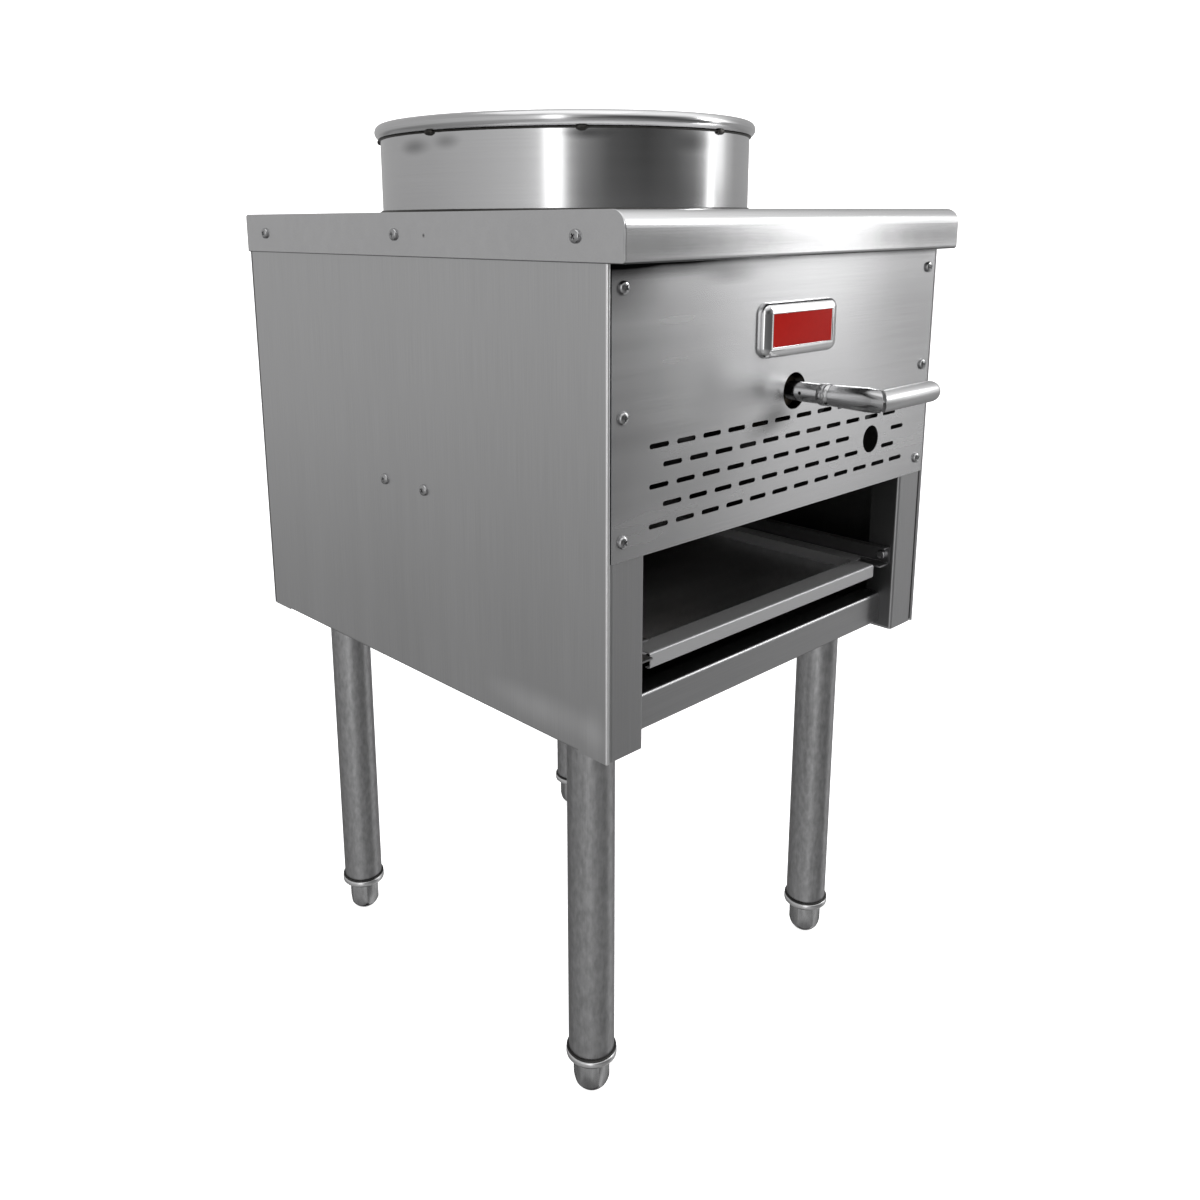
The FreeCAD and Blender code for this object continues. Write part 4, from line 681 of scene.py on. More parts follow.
    def pick_all(self) -> None:
        """Selects the whole mesh."""
        self.enter()
        bpy.ops.mesh.select_all(action="SELECT")

    def tidy(self) -> None:
        """Merges doubled points and turns all faces outwards."""
        self.pick_all()
        bpy.ops.mesh.remove_doubles(threshold=1e-6)
        bpy.ops.mesh.normals_make_consistent(inside=False)

    def pick_edges(self, test: Callable[[Vector, Vector], bool]) -> None:
        """Selects edges.

        Args:
            test: Takes an edge's middle and direction, and says whether to select it.
        """
        mesh = self.enter()
        bpy.ops.mesh.select_mode(type="EDGE")
        bpy.ops.mesh.select_all(action="DESELECT")
        for edge in mesh.edges:
            first, second = (vert.co for vert in edge.verts)
            edge.select_set(test((first + second) / 2, (second - first).normalized()))
        bmesh.update_edit_mesh(self.obj.data)

    def pick_faces(self, test: Callable[[Vector, Vector], bool]) -> None:
        """Selects faces.

        Args:
            test: Takes a face's centre and normal, and says whether to select it.
        """
        mesh = self.enter()
        bpy.ops.mesh.select_mode(type="FACE")
        bpy.ops.mesh.select_all(action="DESELECT")
        for face in mesh.faces:
            face.select_set(test(face.calc_center_median(), face.normal))
        bmesh.update_edit_mesh(self.obj.data)

    def extrude(self, step: Vector) -> None:
        """Extrudes what is selected by a step."""
        bpy.ops.mesh.extrude_region_move(TRANSFORM_OT_translate={"value": step})

    def inset(self, width: float, rise: float = 0.0) -> None:
        """Insets the selected faces by a width and raises them."""
        bpy.ops.mesh.inset(thickness=width, depth=rise)

    def bevel(self, width: float, segments: int) -> None:
        """Rounds the selected edges."""
        bpy.ops.mesh.bevel(offset=width, segments=segments, affect="EDGES", clamp_overlap=True)

    def flatten(self, point: Vector, normal: Vector) -> None:
        """Cuts off what lies beyond a plane and closes the cut."""
        self.pick_all()
        bpy.ops.mesh.bisect(plane_co=point, plane_no=normal, use_fill=True, clear_outer=True)

    def soften(self, width: float, segments: int = 2) -> None:
        """Rounds every sharp edge."""
        self.modify("BEVEL", width=width, segments=segments, limit_method="ANGLE", angle_limit=SHARP)

    def roughen(self, size: float, height: float) -> None:
        """Pushes the surface in and out by cloud noise.

        Args:
            size: Width of the lumps.
            height: Height of the lumps.
        """
        clouds = bpy.data.textures.new(self.obj.name + "_lumps", "CLOUDS")
        clouds.noise_scale = size
        self.modify("DISPLACE", texture=clouds, texture_coords="LOCAL", strength=height)

    def cut(self, cutter: "Piece") -> None:
        """Takes another piece's shape out of this one and discards that piece."""
        self.modify("BOOLEAN", object=cutter.obj, operation="DIFFERENCE", solver="EXACT")
        cutter.discard()

    def copied(self, name: str, move: Matrix) -> "Piece":
        """Makes a copy with its own mesh.

        Args:
            name: Name of the copy.
            move: Matrix that moves it to its place.

        Returns:
            The copy.
        """
        self.take()
        bpy.ops.object.duplicate(linked=False)
        bpy.context.object.matrix_world = move
        return Piece(name)

    def move(self, change: Matrix) -> None:
        """Moves the piece by a matrix."""
        self.obj.matrix_world = change
        self.settle()

    def spread(self, name: str, moves: Sequence[Matrix]) -> "Piece":
        """Puts copies in several places as one mesh, and discards this piece.

        Args:
            name: Name of the new piece.
            moves: Matrix that moves each copy to its place.

        Returns:
            The new piece.
        """
        copies = [self.copied(f"{name}_{index}", move) for index, move in enumerate(moves)]
        copies[0].join(copies[1:])
        self.discard()
        copies[0].obj.name = name
        return copies[0]

    def join(self, others: Iterable["Piece"]) -> None:
        """Takes other pieces into this one's mesh.

        Args:
            others: The other pieces.
        """
        self.take()
        for other in others:
            other.obj.select_set(True)
        bpy.ops.object.join()

    def discard(self) -> None:
        """Removes the piece and its mesh."""
        mesh = self.obj.data
        bpy.data.objects.remove(self.obj)
        bpy.data.meshes.remove(mesh)

    def smooth(self, angle: float = SHARP) -> None:
        """Shades smooth all but edges sharper than an angle."""
        self.take()
        bpy.ops.object.shade_smooth_by_angle(angle=angle)

    def done(self, body: str, finish: Finish, slot: str, *nodes: str) -> None:
        """Finishes the piece and puts it on its body.

        Args:
            body: CAD body that it rides on.
            finish: What it is finished in.
            slot: The record's material slot; not used.
            nodes: CAD nodes that it stands for.
        """
        self.obj.data.materials.clear()
        self.obj.data.materials.append(coat(finish))
        self.smooth()
        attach(self.obj, body)
        if nodes:
            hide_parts(*nodes)
        LOG.info("built %s on %s, %d faces", self.obj.name, body, len(self.obj.data.polygons))


def edged(low: float, high: float, radius: float, low_edge: Sequence[Pair],
          high_edge: Sequence[Pair]) -> list[Pair]:
    """Rings of a turned wall whose edges are steps in from its ends, each with the radius lost there."""
    rings = [(low + step, radius - loss) for step, loss in low_edge]
    return rings + [(high - step, radius - loss) for step, loss in high_edge]


# Sub-assemblies

@dataclass
class Cabinet:
    """Folded sheets and the frame behind them."""

    nose_radius: float = 0.013
    trim_x: float = 0.23025
    cheek_sheet: float = 0.0016
    cheek_corner: float = 0.0126
    cheek_inset: float = 0.0003

    def build(self) -> None:
        """Dresses the sheets and the frame."""
        dress(["left_side_panel", "right_side_panel", "back_panel", "bottom_panel"], SIDE_SHEET)
        dress(["control_panel"], FRONT_SHEET)
        dress(["top_panel"], TOP_SHEET)
        dress(["front_left_post", "front_right_post", "rear_left_post", "rear_right_post"], FRAME_STEEL)
        dress(["leg_sockets"], FRAME_STEEL)
        dress(["front_cross_member", "rear_cross_member", "burner_support"], CROSS_STEEL)
        dress(["left_base_rail", "right_base_rail", "left_tray_rail", "right_tray_rail"], SHADED_RAIL_STEEL)
        self.build_lip_caps()

    def build_lip_caps(self) -> None:
        """Rounded cheeks that close the ends of the top's nose."""
        inset = self.nose_radius / 2 + self.cheek_inset
        middle = Vector((0, LIP_Y + inset, TOP_Z - inset))
        for name, side in (("left_lip_cheek", -1), ("right_lip_cheek", 1)):
            centre = middle + X_AXIS * side * (self.trim_x - self.cheek_sheet / 2)
            cheek = Piece.block(name, centre, (self.cheek_sheet, self.nose_radius, self.nose_radius))
            cheek.pick_edges(
                lambda spot, along: abs(along.x) > ALIGNED and spot.y < middle.y and spot.z > middle.z)
            cheek.bevel(self.cheek_corner, segments=12)
            cheek.settle()
            cheek.done("cabinet", TOP_SHEET, "top_steel")


@dataclass
class WokRing:
    """Rolled wall with a round-bar rim, tacked on underneath and bedded on the top."""

    centre_y: float = 0.058
    wall_radius: float = 0.1825
    rim_height: float = 0.876
    bar_radius: float = 0.007
    rim_lap: float = 0.0003
    tacks: int = 8
    first_tack: float = math.radians(-128.6)
    tack_radius: float = 0.0034
    tack_shape: Triple = (0.75, 1.6, 0.8)
    tack_out: float = 0.3
    tack_drop: float = 0.2
    tack_lumps: Pair = (0.003, 0.0012)
    rim_bead: float = 0.0013
    base_bead: float = 0.0021
    bead_sunk: float = 0.0008
    bead_gap: float = 0.0001
    bead_foot: float = 1.4
    bead_bulge: Outline = ((0.6, 1.1), (1.0, 0.5))
    bead_top: float = 1.3
    bead_lumps: Pair = (0.004, 0.0005)

    def build(self) -> None:
        """Dresses the ring and adds its welds."""
        dress(["wok_ring_wall"], RING_SHEET)
        dress(["wok_ring_rim"], RIM_BAR)
        dress(["fire_chamber"], CHAMBER_STEEL)
        self.build_tacks()
        self.build_bead("ring_base_bead_and_shade", TOP_Z, 1, self.base_bead)
        self.build_bead("ring_rim_bead_and_shade", self.rim_height - self.bar_radius + self.rim_lap, -1, self.rim_bead)

    def build_tacks(self) -> None:
        """Lumps of weld in the corner between the wall and the rim."""
        lump = Piece.ball("rim_tack", self.tack_radius, self.tack_shape)
        lump.roughen(*self.tack_lumps)
        height = self.rim_height - self.bar_radius - self.tack_radius * self.tack_drop
        reach = self.wall_radius + self.tack_radius * self.tack_out
        moves = []
        for index in range(self.tacks):
            angle = self.first_tack + index * math.tau / self.tacks
            spot = Vector((math.cos(angle), math.sin(angle), 0)) * reach + Vector((0, self.centre_y, height))
            moves.append(Matrix.Translation(spot) @ Matrix.Rotation(angle, 4, "Z"))
        lump.spread("rim_tacks", moves).done("cabinet", WELD, "ring_steel")

    def build_bead(self, name: str, height: float, upward: int, size: float) -> None:
        """Thin bead of weld around the wall, in the corner with what lies below or above it; its dark colour
        is also painted shade for the shadow line in that corner.

        Args:
            name: Name of the piece.
            height: Height of the corner.
            upward: 1 if the bead rises from its corner, -1 if it hangs from it.
            size: Radius of the bead, which its outline is given in.
        """
        wall, inner = self.wall_radius, self.wall_radius - self.bead_sunk
        bulge = [(size * rise, wall + size * out) for rise, out in self.bead_bulge]
        rings = [(self.bead_gap, inner), (self.bead_gap, wall + size * self.bead_foot), *bulge,
                 (size * self.bead_top, inner)]
        bead = Piece.turned(name, (0, self.centre_y, height), Z_AXIS * upward, rings, sides=360, hollow=True)
        bead.roughen(*self.bead_lumps)
        bead.done("cabinet", WELD, "ring_steel")


@dataclass
class Fasteners:
    """Cross-recessed pan-head screws and round-headed bolts."""

    shank_radius: float = 0.0021
    head_radius: float = 0.0052
    head_height: float = 0.0030
    head_outline: Outline = ((0.32, 1.0), (0.55, 0.96), (0.75, 0.87), (0.9, 0.70), (1.0, 0.42))
    seat_share: float = 0.97
    seat_edge: float = 0.0002
    tip_share: float = 0.7
    tip_length: float = 0.0006
    length: float = 0.009
    top_length: float = 0.005
    recess_length: float = 0.0062
    recess_width: float = 0.0019
    recess_depth: float = 0.0023
    recess_taper: float = 0.55
    edge: float = 0.00012
    first_turn: float = math.radians(37)
    next_turn: float = math.radians(53)
    panel_x: float = 0.212
    panel_rows: Triple = (0.5564, 0.6509, 0.7454)
    back_x: float = 0.2175
    back_y: float = 0.2923
    back_low: float = 0.419
    back_pitch: float = 0.1079
    back_rows: int = 4
    support_z: float = 0.5594
    support_y: Pair = (0.0, 0.061)
    trim_x: float = 0.2302
    trim_z: float = 0.78135
    trim_y: Triple = (-0.1985, 0.028, 0.2545)

    def build(self) -> None:
        """Sets the screws and dresses the bolts."""
        sheet = [((side * self.panel_x, FRONT_Y, z), -Y_AXIS) for side in SIDES for z in self.panel_rows]
        sheet += [((side * self.back_x, self.back_y, self.back_low + self.back_pitch * row), Y_AXIS)
                  for side in SIDES for row in range(self.back_rows)]
        sheet += [((side * SIDE_X, y, self.support_z), X_AXIS * side)
                  for side in SIDES for y in self.support_y]
        self.set_screws("sheet_screws", self.length, sheet)
        trim = [((side * self.trim_x, y, self.trim_z), X_AXIS * side) for side in SIDES for y in self.trim_y]
        self.set_screws("top_screws", self.top_length, trim)
        dress(["rail_bolts", "burner_bolts"], SCREW_STEEL)

    def build_screw(self, length: float) -> Piece:
        """Models a screw along Z with its head's seat at the origin.

        Args:
            length: Length of its shank.

        Returns:
            The screw.
        """
        shank, head, tall = self.shank_radius, self.head_radius, self.head_height
        rings = [(-length, shank * self.tip_share), (-length + self.tip_length, shank), (0.0, shank),
                 (0.0, head * self.seat_share), (self.seat_edge, head)]
        rings += [(tall * rise, head * share) for rise, share in self.head_outline]
        screw = Piece.turned("screw_model", (0, 0, 0), Z_AXIS, rings, sides=32)
        taper = (self.recess_taper, self.recess_taper, 1.0)
        for along in (X_AXIS, Y_AXIS):
            across = Vector((1, 1, 0)) - along
            size = along * self.recess_length + across * self.recess_width + Z_AXIS * self.recess_depth * 2
            slot = Piece.block("recess", (0, 0, tall), size)
            slot.pick_faces(lambda middle, normal: normal.z < -ALIGNED)
            bpy.ops.transform.resize(value=taper, center_override=(0, 0, tall))
            slot.settle()
            screw.cut(slot)
        screw.soften(self.edge, segments=1)
        return screw

    def set_screws(self, node: str, length: float, spots: Sequence[tuple[Triple, Vector]]) -> None:
        """Sets a group of screws in place of a CAD node.

        Args:
            node: The CAD node.
            length: Length of their shanks.
            spots: Seat and outward direction of each screw.
        """
        moves = []
        for index, (seat, outward) in enumerate(spots):
            aim = outward.to_track_quat("Z", "Y").to_matrix().to_4x4()
            turn = Matrix.Rotation(self.first_turn + self.next_turn * index, 4, "Z")
            moves.append(Matrix.Translation(seat) @ aim @ turn)
        screws = self.build_screw(length).spread(node + "_crossed", moves)
        screws.done("cabinet", SCREW_STEEL, "fastener_steel", node)


@dataclass
class ValveHandle:
    """Sleeve, pinned collar, barrel and bent lever on the valve's stem, as distances ahead of the panel."""

    height: float = 0.648
    sleeve_hole: float = 0.011
    grub_radius: float = 0.0014
    grub_start: float = 0.0061
    grub_end: float = 0.0078
    grub_edge: float = 0.0002
    grub_face: float = 0.86
    socket_wall: float = 0.0004
    socket_depth: float = 0.0009
    collar_start: float = 0.027
    barrel_start: float = 0.038
    barrel_end: float = 0.072
    lever_out: float = 0.0839
    shank_radius: float = 0.006
    collar_radius: float = 0.0096
    collar_shoulder: Outline = ((0.0, 0.001344), (0.0005, 0.00048), (0.0014, 0.0))
    collar_waist: Outline = (
        (0.0036, 0.0), (0.0026, 0.000288), (0.0016, 0.00096), (0.0008, 0.00144), (0.0, 0.001536),
    )
    barrel_start_radius: float = 0.00905
    barrel_end_radius: float = 0.01025
    lever_radius: float = 0.0090
    lever_length: float = 0.085
    mitre_gap: float = 0.0026
    mitre_edge: float = 0.0013
    edge: float = 0.0007
    edge_share: float = 0.93
    tip_turns: tuple[int, ...] = (0, 15, 30, 45, 58, 70, 80, 86)
    pin_reach: float = 0.0111
    pin_radius: float = 0.0020
    pin_head: float = 0.0032
    pin_dome: Outline = ((0.0, 0.40), (0.0002, 0.75), (0.0007, 1.0), (0.0015, 1.0))
    fit: float = 0.0001

    def ahead(self, distance: float) -> Vector:
        """Point on the handle's axis, a distance ahead of the panel."""
        return Vector((0, FRONT_Y - distance, self.height))

    def build(self) -> None:
        """Models the handle's pieces and dresses the sleeve."""
        dress(["handle_sleeve"], HANDLE_CHROME)
        self.build_grub_screw()
        self.build_collar()
        self.build_pin()
        self.build_barrel()
        self.build_arm()

    def build_grub_screw(self) -> None:
        """Socketed screw sunk in the sleeve's side hole."""
        radius, end = self.grub_radius, self.grub_end
        rings = [(self.grub_start, radius), (end - self.grub_edge, radius), (end, radius * self.grub_face)]
        screw = Piece.turned("sleeve_grub_screw", self.ahead(self.sleeve_hole), -X_AXIS, rings, sides=24)
        screw.pick_faces(lambda middle, normal: normal.x < -ALIGNED and middle.x < self.grub_edge - end)
        screw.inset(self.socket_wall)
        screw.extrude(X_AXIS * self.socket_depth)
        screw.settle()
        screw.done("valve_handle", PIPE_BLACK, "handle_chrome")

    def build_collar(self) -> None:
        """Coupling collar with rounded shoulders and a waist towards the barrel."""
        start, end, bore = self.collar_start, self.barrel_start, self.shank_radius + self.fit
        wall = edged(start, end, self.collar_radius, self.collar_shoulder, self.collar_waist)
        rings = [(start, bore), *wall, (end, bore)]
        collar = Piece.turned("handle_collar_waisted", self.ahead(0), -Y_AXIS, rings, hollow=True)
        collar.done("valve_handle", HANDLE_CHROME, "handle_chrome", "handle_collar")

    def build_pin(self) -> None:
        """Cross pin with a domed head at each end."""
        dome = [(self.pin_reach - step, self.pin_head * share) for step, share in self.pin_dome]
        dome.append((dome[-1][0], self.pin_radius))
        rings = [(-distance, radius) for distance, radius in dome] + dome[::-1]
        middle = self.ahead((self.collar_start + self.barrel_start) / 2)
        pin = Piece.turned("handle_pin_domed", middle, X_AXIS, rings, sides=32)
        pin.done("valve_handle", SCREW_STEEL, "handle_chrome", "handle_pin")

    def mitre(self, piece: Piece, side: int) -> None:
        """Cuts a piece off at the mitre between the barrel and the lever, and rounds the cut's edge.

        Args:
            piece: The barrel or the lever.
            side: 1 to keep what lies towards the panel, -1 to keep the other side.
        """
        outward = Vector((1, -1, 0)).normalized() * side
        point = self.ahead(self.lever_out) - outward * self.mitre_gap / 2
        piece.flatten(point, outward)
        piece.pick_edges(lambda middle, along: abs((middle - point).dot(outward)) < TINY)
        piece.bevel(self.mitre_edge, segments=3)

    def build_barrel(self) -> None:
        """Shank and tapered barrel in one, mitred at the end."""
        start, end = self.barrel_start, self.barrel_end
        narrow, wide = self.barrel_start_radius, self.barrel_end_radius
        beyond = self.lever_out + self.lever_radius
        rings = [(self.collar_start + self.fit, self.shank_radius), (start, self.shank_radius),
                 (start, narrow * self.edge_share), (start + self.edge, narrow), (end, wide),
                 (beyond, self.lever_radius), (beyond + wide, self.lever_radius)]
        barrel = Piece.turned("handle_barrel_mitred", self.ahead(0), -Y_AXIS, rings)
        self.mitre(barrel, 1)
        barrel.settle()
        barrel.done("valve_handle", HANDLE_CHROME, "handle_chrome", "handle_barrel", "handle_lever")

    def build_arm(self) -> None:
        """Satin lever with a mitred end, a plug into the barrel and a domed tip."""
        radius = self.lever_radius
        dome_start = self.lever_length - radius
        turns = [math.radians(turn) for turn in self.tip_turns]
        dome = [(dome_start + radius * math.sin(turn), radius * math.cos(turn)) for turn in turns]
        rings = [(-2 * radius, radius), *dome]
        arm = Piece.turned("handle_lever_arm", self.ahead(self.lever_out), X_AXIS, rings, sides=48)
        self.mitre(arm, -1)
        inward = Vector((-1, 1, 0)).normalized()
        arm.pick_faces(lambda middle, normal: normal.dot(inward) > SQUARE_ON)
        arm.inset(self.mitre_gap * 2)
        arm.extrude(inward * self.mitre_gap)
        arm.settle()
        arm.done("valve_handle", LEVER_SATIN, "handle_chrome", "handle_lever")


@dataclass
class Nameplate:
    """Raised bezel with a bare coloured insert."""

    centre_z: float = 0.7024
    width: float = 0.105
    height: float = 0.046
    depth: float = 0.007
    insert_width: float = 0.084
    insert_height: float = 0.0275
    insert_sheet: float = 0.0020
    recess: float = 0.0025
    corner: float = 0.0092
    inner_corner: float = 0.0007
    wall: float = 0.0010
    shoulder: float = 0.0084
    shoulder_steps: int = 14
    inner_edge: float = 0.0005
    insert_edge: float = 0.0002

    def build(self) -> None:
        """Models the bezel and the insert."""
        self.build_bezel()
        self.build_insert()

    def on_window(self, middle: Vector) -> bool:
        """Tells whether an edge lies on the front rim of the window.

        Args:
            middle: Middle of the edge.

        Returns:
            Whether it does.
        """
        across = abs(middle.x) - self.insert_width / 2
        up = abs(middle.z - self.centre_z) - self.insert_height / 2
        return middle.y < FRONT_Y - self.depth + TINY and abs(max(across, up)) < TINY

    def build_bezel(self) -> None:
        """Frame with rounded corners and a half-round section around its window."""
        bezel = Piece.block("nameplate_bezel_rounded", (0, FRONT_Y - self.wall / 2, self.centre_z),
                            (self.width, self.wall, self.height))
        bezel.pick_edges(lambda middle, along: abs(along.y) > ALIGNED)
        bezel.bevel(self.corner, segments=8)
        bezel.pick_faces(lambda middle, normal: normal.y < -ALIGNED)
        turns = [math.pi / 2 * step / self.shoulder_steps for step in range(self.shoulder_steps + 1)]
        for turn, next_turn in zip(turns, turns[1:]):
            width = self.shoulder * (math.cos(turn) - math.cos(next_turn))
            bezel.inset(width, (self.depth - self.wall) * (math.sin(next_turn) - math.sin(turn)))
        bezel.settle()
        bezel.cut(Piece.block("window", (0, FRONT_Y - self.depth, self.centre_z),
                              (self.insert_width, self.recess * 2, self.insert_height)))
        bezel.pick_edges(lambda middle, along: self.on_window(middle))
        bezel.bevel(self.inner_edge, segments=3)
        bezel.tidy()
        bezel.settle()
        bezel.done("cabinet", BEZEL_CHROME, "bezel_chrome", "nameplate_bezel")

    def build_insert(self) -> None:
        """Bare plate that fills the recess."""
        seat = FRONT_Y - self.depth + self.recess
        centre = (0, seat - self.insert_sheet / 2, self.centre_z)
        size = (self.insert_width, self.insert_sheet, self.insert_height)
        insert = Piece.block("nameplate_insert_bare", centre, size)
        insert.pick_edges(lambda middle, along: abs(along.y) > ALIGNED)
        insert.bevel(self.inner_corner, segments=3)
        insert.settle()
        insert.soften(self.insert_edge)
        insert.obj.visible_glossy = False
        insert.done("cabinet", PLATE_RED, "plate_red", "nameplate_insert")


class DripTray:
    """Pull-out tray."""

    def build(self) -> None:
        """Dresses the tray and its floor."""
        dress(["drip_tray"], TRAY_SHEET)
        dress(["drip_tray_floor"], TRAY_FLOOR)


@dataclass
class Legs:
    """Tube legs with collared inserts and bullet feet."""

    side_x: float = 0.1705
    front_y: float = -0.152
    rear_y: float = 0.233
    foot_radius: float = 0.0172
    foot_flat: float = 0.0147
    flat_turn: float = math.radians(38)
    foot_height: float = 0.036
    collar_radius: float = 0.0235
    leg_bottom: float = 0.045
    washer_height: float = 0.0018
    plug_radius: float = 0.0195
    plug_length: float = 0.032
    stem_radius: float = 0.0053
    stem_length: float = 0.058
    thread_depth: float = 0.0007
    thread_pitch: float = 0.00175
    fit: float = 0.0001
    flats: int = 6
    dome_turns: tuple[int, ...] = (20, 32, 44, 56, 68, 80, 90)
    foot_neck: Outline = ((0.0030, 0.0), (0.0012, 0.0012), (0.0, 0.0012))
    collar_low: Outline = ((0.0, 0.0022), (0.0005, 0.0010), (0.0014, 0.0002), (0.0024, 0.0))
    collar_high: Outline = ((0.0024, 0.0), (0.0012, 0.0003), (0.0004, 0.0010), (0.0, 0.0020))
    washer_inset: float = 0.0003
    washer_low: Outline = ((0.0, 0.0004), (0.0004, 0.0))
    washer_high: Outline = ((0.0008, 0.0), (0.0, 0.0008))

    def places(self) -> list[tuple[str, Vector]]:
        """Lists the four legs.

        Returns:
            Name and floor point of each.
        """
        ends = (("front", self.front_y), ("rear", self.rear_y))
        sides = (("left", -self.side_x), ("right", self.side_x))
        return [(f"{end}_{side}", Vector((x, y, 0))) for end, y in ends for side, x in sides]

    def build(self) -> None:
        """Dresses the legs, and sets a foot, a collar and a washer on each."""
        foot = self.build_foot()
        collar = self.build_collar()
        washer = self.build_washer()
        for place, spot in self.places():
            dress([place + "_leg"], LEG_TUBE)
            move = Matrix.Translation(spot)
            foot.copied(place + "_foot_bullet", move).done(
                place + "_leveller", FOOT_BAR, "foot_steel", place + "_foot")
            collar.copied(place + "_collar", move).done(
                "cabinet", COLLAR_BAR, "foot_steel", place + "_foot_insert")
            washer.copied(place + "_washer", move).done("cabinet", WASHER_SHADE, "foot_steel")
        for model in (foot, collar, washer):
            model.discard()

    def build_foot(self) -> Piece:
        """Models a bullet foot with flats for a spanner and a threaded stem.

        Returns:
            The foot.
        """
        radius, tall = self.foot_radius, self.foot_height
        turns = [math.radians(turn) for turn in self.dome_turns]
        dome = [(radius * (math.cos(turns[0]) - math.cos(turn)), radius * math.sin(turn)) for turn in turns]
        neck = [(tall - step, radius - loss) for step, loss in self.foot_neck]
        rings = [*dome, *neck, (tall, self.stem_radius), (tall + self.stem_length, self.stem_radius)]
        foot = Piece.turned("foot_model", (0, 0, 0), Z_AXIS, rings)
        for side in range(self.flats):
            angle = self.flat_turn + math.tau * side / self.flats
            outward = Vector((math.cos(angle), math.sin(angle), 0))
            foot.flatten(outward * self.foot_flat, outward)
        foot.settle()
        pitch = self.thread_pitch
        thread = Piece.thread("stem_thread", self.stem_radius, self.thread_depth, pitch, self.stem_length)
        thread.move(Matrix.Translation((0, 0, tall + pitch / 2)))
        foot.join([thread])
        return foot

    def build_collar(self) -> Piece:
        """Models an insert with a rounded collar and a plug that goes up the tube.

        Returns:
            The insert.
        """
        low, high = self.foot_height, self.leg_bottom - self.washer_height
        top = self.leg_bottom + self.plug_length
        bore = self.stem_radius + self.thread_depth + self.fit
        wall = edged(low, high, self.collar_radius, self.collar_low, self.collar_high)
        rings = [(low, bore), *wall, (high, self.plug_radius), (top, self.plug_radius), (top, bore)]
        return Piece.turned("collar_model", (0, 0, 0), Z_AXIS, rings, hollow=True)

    def build_washer(self) -> Piece:
        """Models the washer between the collar and the end of the tube, dark as painted shade for the shadow
        line there.

        Returns:
            The washer.
        """
        low, high = self.leg_bottom - self.washer_height, self.leg_bottom
        bore = self.plug_radius + self.fit
        wall = edged(low, high, self.collar_radius - self.washer_inset, self.washer_low, self.washer_high)
        rings = [(low, bore), *wall, (high, bore)]
        return Piece.turned("washer_model", (0, 0, 0), Z_AXIS, rings, hollow=True)


@dataclass
class GasTrain:
    """Inlet pipe, union, tubes, valve, pilot and burner."""

    pipe_x: float = 0.20515
    pipe_z: float = 0.582
    pipe_start: float = -0.108
    pipe_end: float = 0.322
    pipe_radius: float = 0.01335
    pipe_bore: float = 0.01045
    thread_length: float = 0.020
    thread_root: float = 0.0121
    thread_depth: float = 0.0010
    thread_pitch: float = 0.00181
    shoulder: float = 0.0012
    end_edge: float = 0.0010
    end_loss: float = 0.0008

    def build(self) -> None:
        """Dresses the gas train and models the threaded inlet."""
        dress(["pilot_valve", "pilot_screw", "burner_jets"], BRASS)
        dress(["valve_body", "valve_bonnet", "valve_plug"], SHADED_BRASS)
        dress(["burner_head", "gas_union"], BURNER_IRON)
        dress(["burner_feed_tube"], PIPE_BLACK)
        dress(["gas_supply_tube", "pilot_burner"], SHADED_TUBE_STEEL)
        dress(["pilot_tube"], SHADED_PILOT_ALUMINIUM)
        self.build_inlet()

    def build_inlet(self) -> None:
        """Pipe with a thread cut on its outer end."""
        start, end, root = self.pipe_start, self.pipe_end, self.thread_root
        step = end - self.thread_length
        bore, radius = self.pipe_bore, self.pipe_radius
        rings = [(start, bore), (start, radius), (step - self.shoulder, radius), (step, root),
                 (end - self.end_edge, root), (end, root - self.end_loss), (end, bore)]
        origin = (self.pipe_x, 0, self.pipe_z)
        pipe = Piece.turned("gas_inlet_pipe_threaded", origin, Y_AXIS, rings, hollow=True)
        pitch = self.thread_pitch
        ridge = Piece.thread("inlet_thread", root, self.thread_depth, pitch, self.thread_length)
        seat = Matrix.Translation((self.pipe_x, step + pitch / 2, self.pipe_z))
        ridge.move(seat @ Matrix.Rotation(-math.pi / 2, 4, "X"))
        pipe.join([ridge])
        pipe.done("cabinet", PIPE_BLACK, "pipe_black", "gas_inlet_pipe")


# Studio

@dataclass(frozen=True)
class Compass:
    """Layer of the surround: shades by azimuth in degrees, faded in between two heights."""

    fade: Pair
    stops: Outline

    def shades(self, board: NodeBoard, share: Socket) -> Socket:
        """Adds the shades to a world's nodes.

        Args:
            board: The world's node board.
            share: Share of the full circle, from 0 at the left round to 1.

        Returns:
            Colour output.
        """
        ramp = board.add("ValToRGB", {"Fac": share})
        marks = ramp.color_ramp.elements
        while len(marks) < len(self.stops):
            marks.new(0.5)
        for mark, (azimuth, shade) in zip(marks, self.stops):
            mark.position = azimuth / 360.0 + 0.5
            mark.color = (shade, shade, shade, 1.0)
        return ramp.outputs["Color"]


@dataclass(frozen=True)
class SoftBox:
    """Square area light that faces a point."""

    name: str
    place: Triple
    target: Triple
    size: float
    power: float

    def build(self) -> None:
        """Hangs the light."""
        lamp = bpy.data.lights.new(self.name, "AREA")
        lamp.shape = "RECTANGLE"
        lamp.size = lamp.size_y = self.size
        lamp.energy = self.power
        obj = bpy.data.objects.new(self.name, lamp)
        obj.location = self.place
        obj.rotation_euler = (Vector(self.target) - Vector(self.place)).to_track_quat("-Z", "Y").to_euler()
        bpy.context.scene.collection.objects.link(obj)


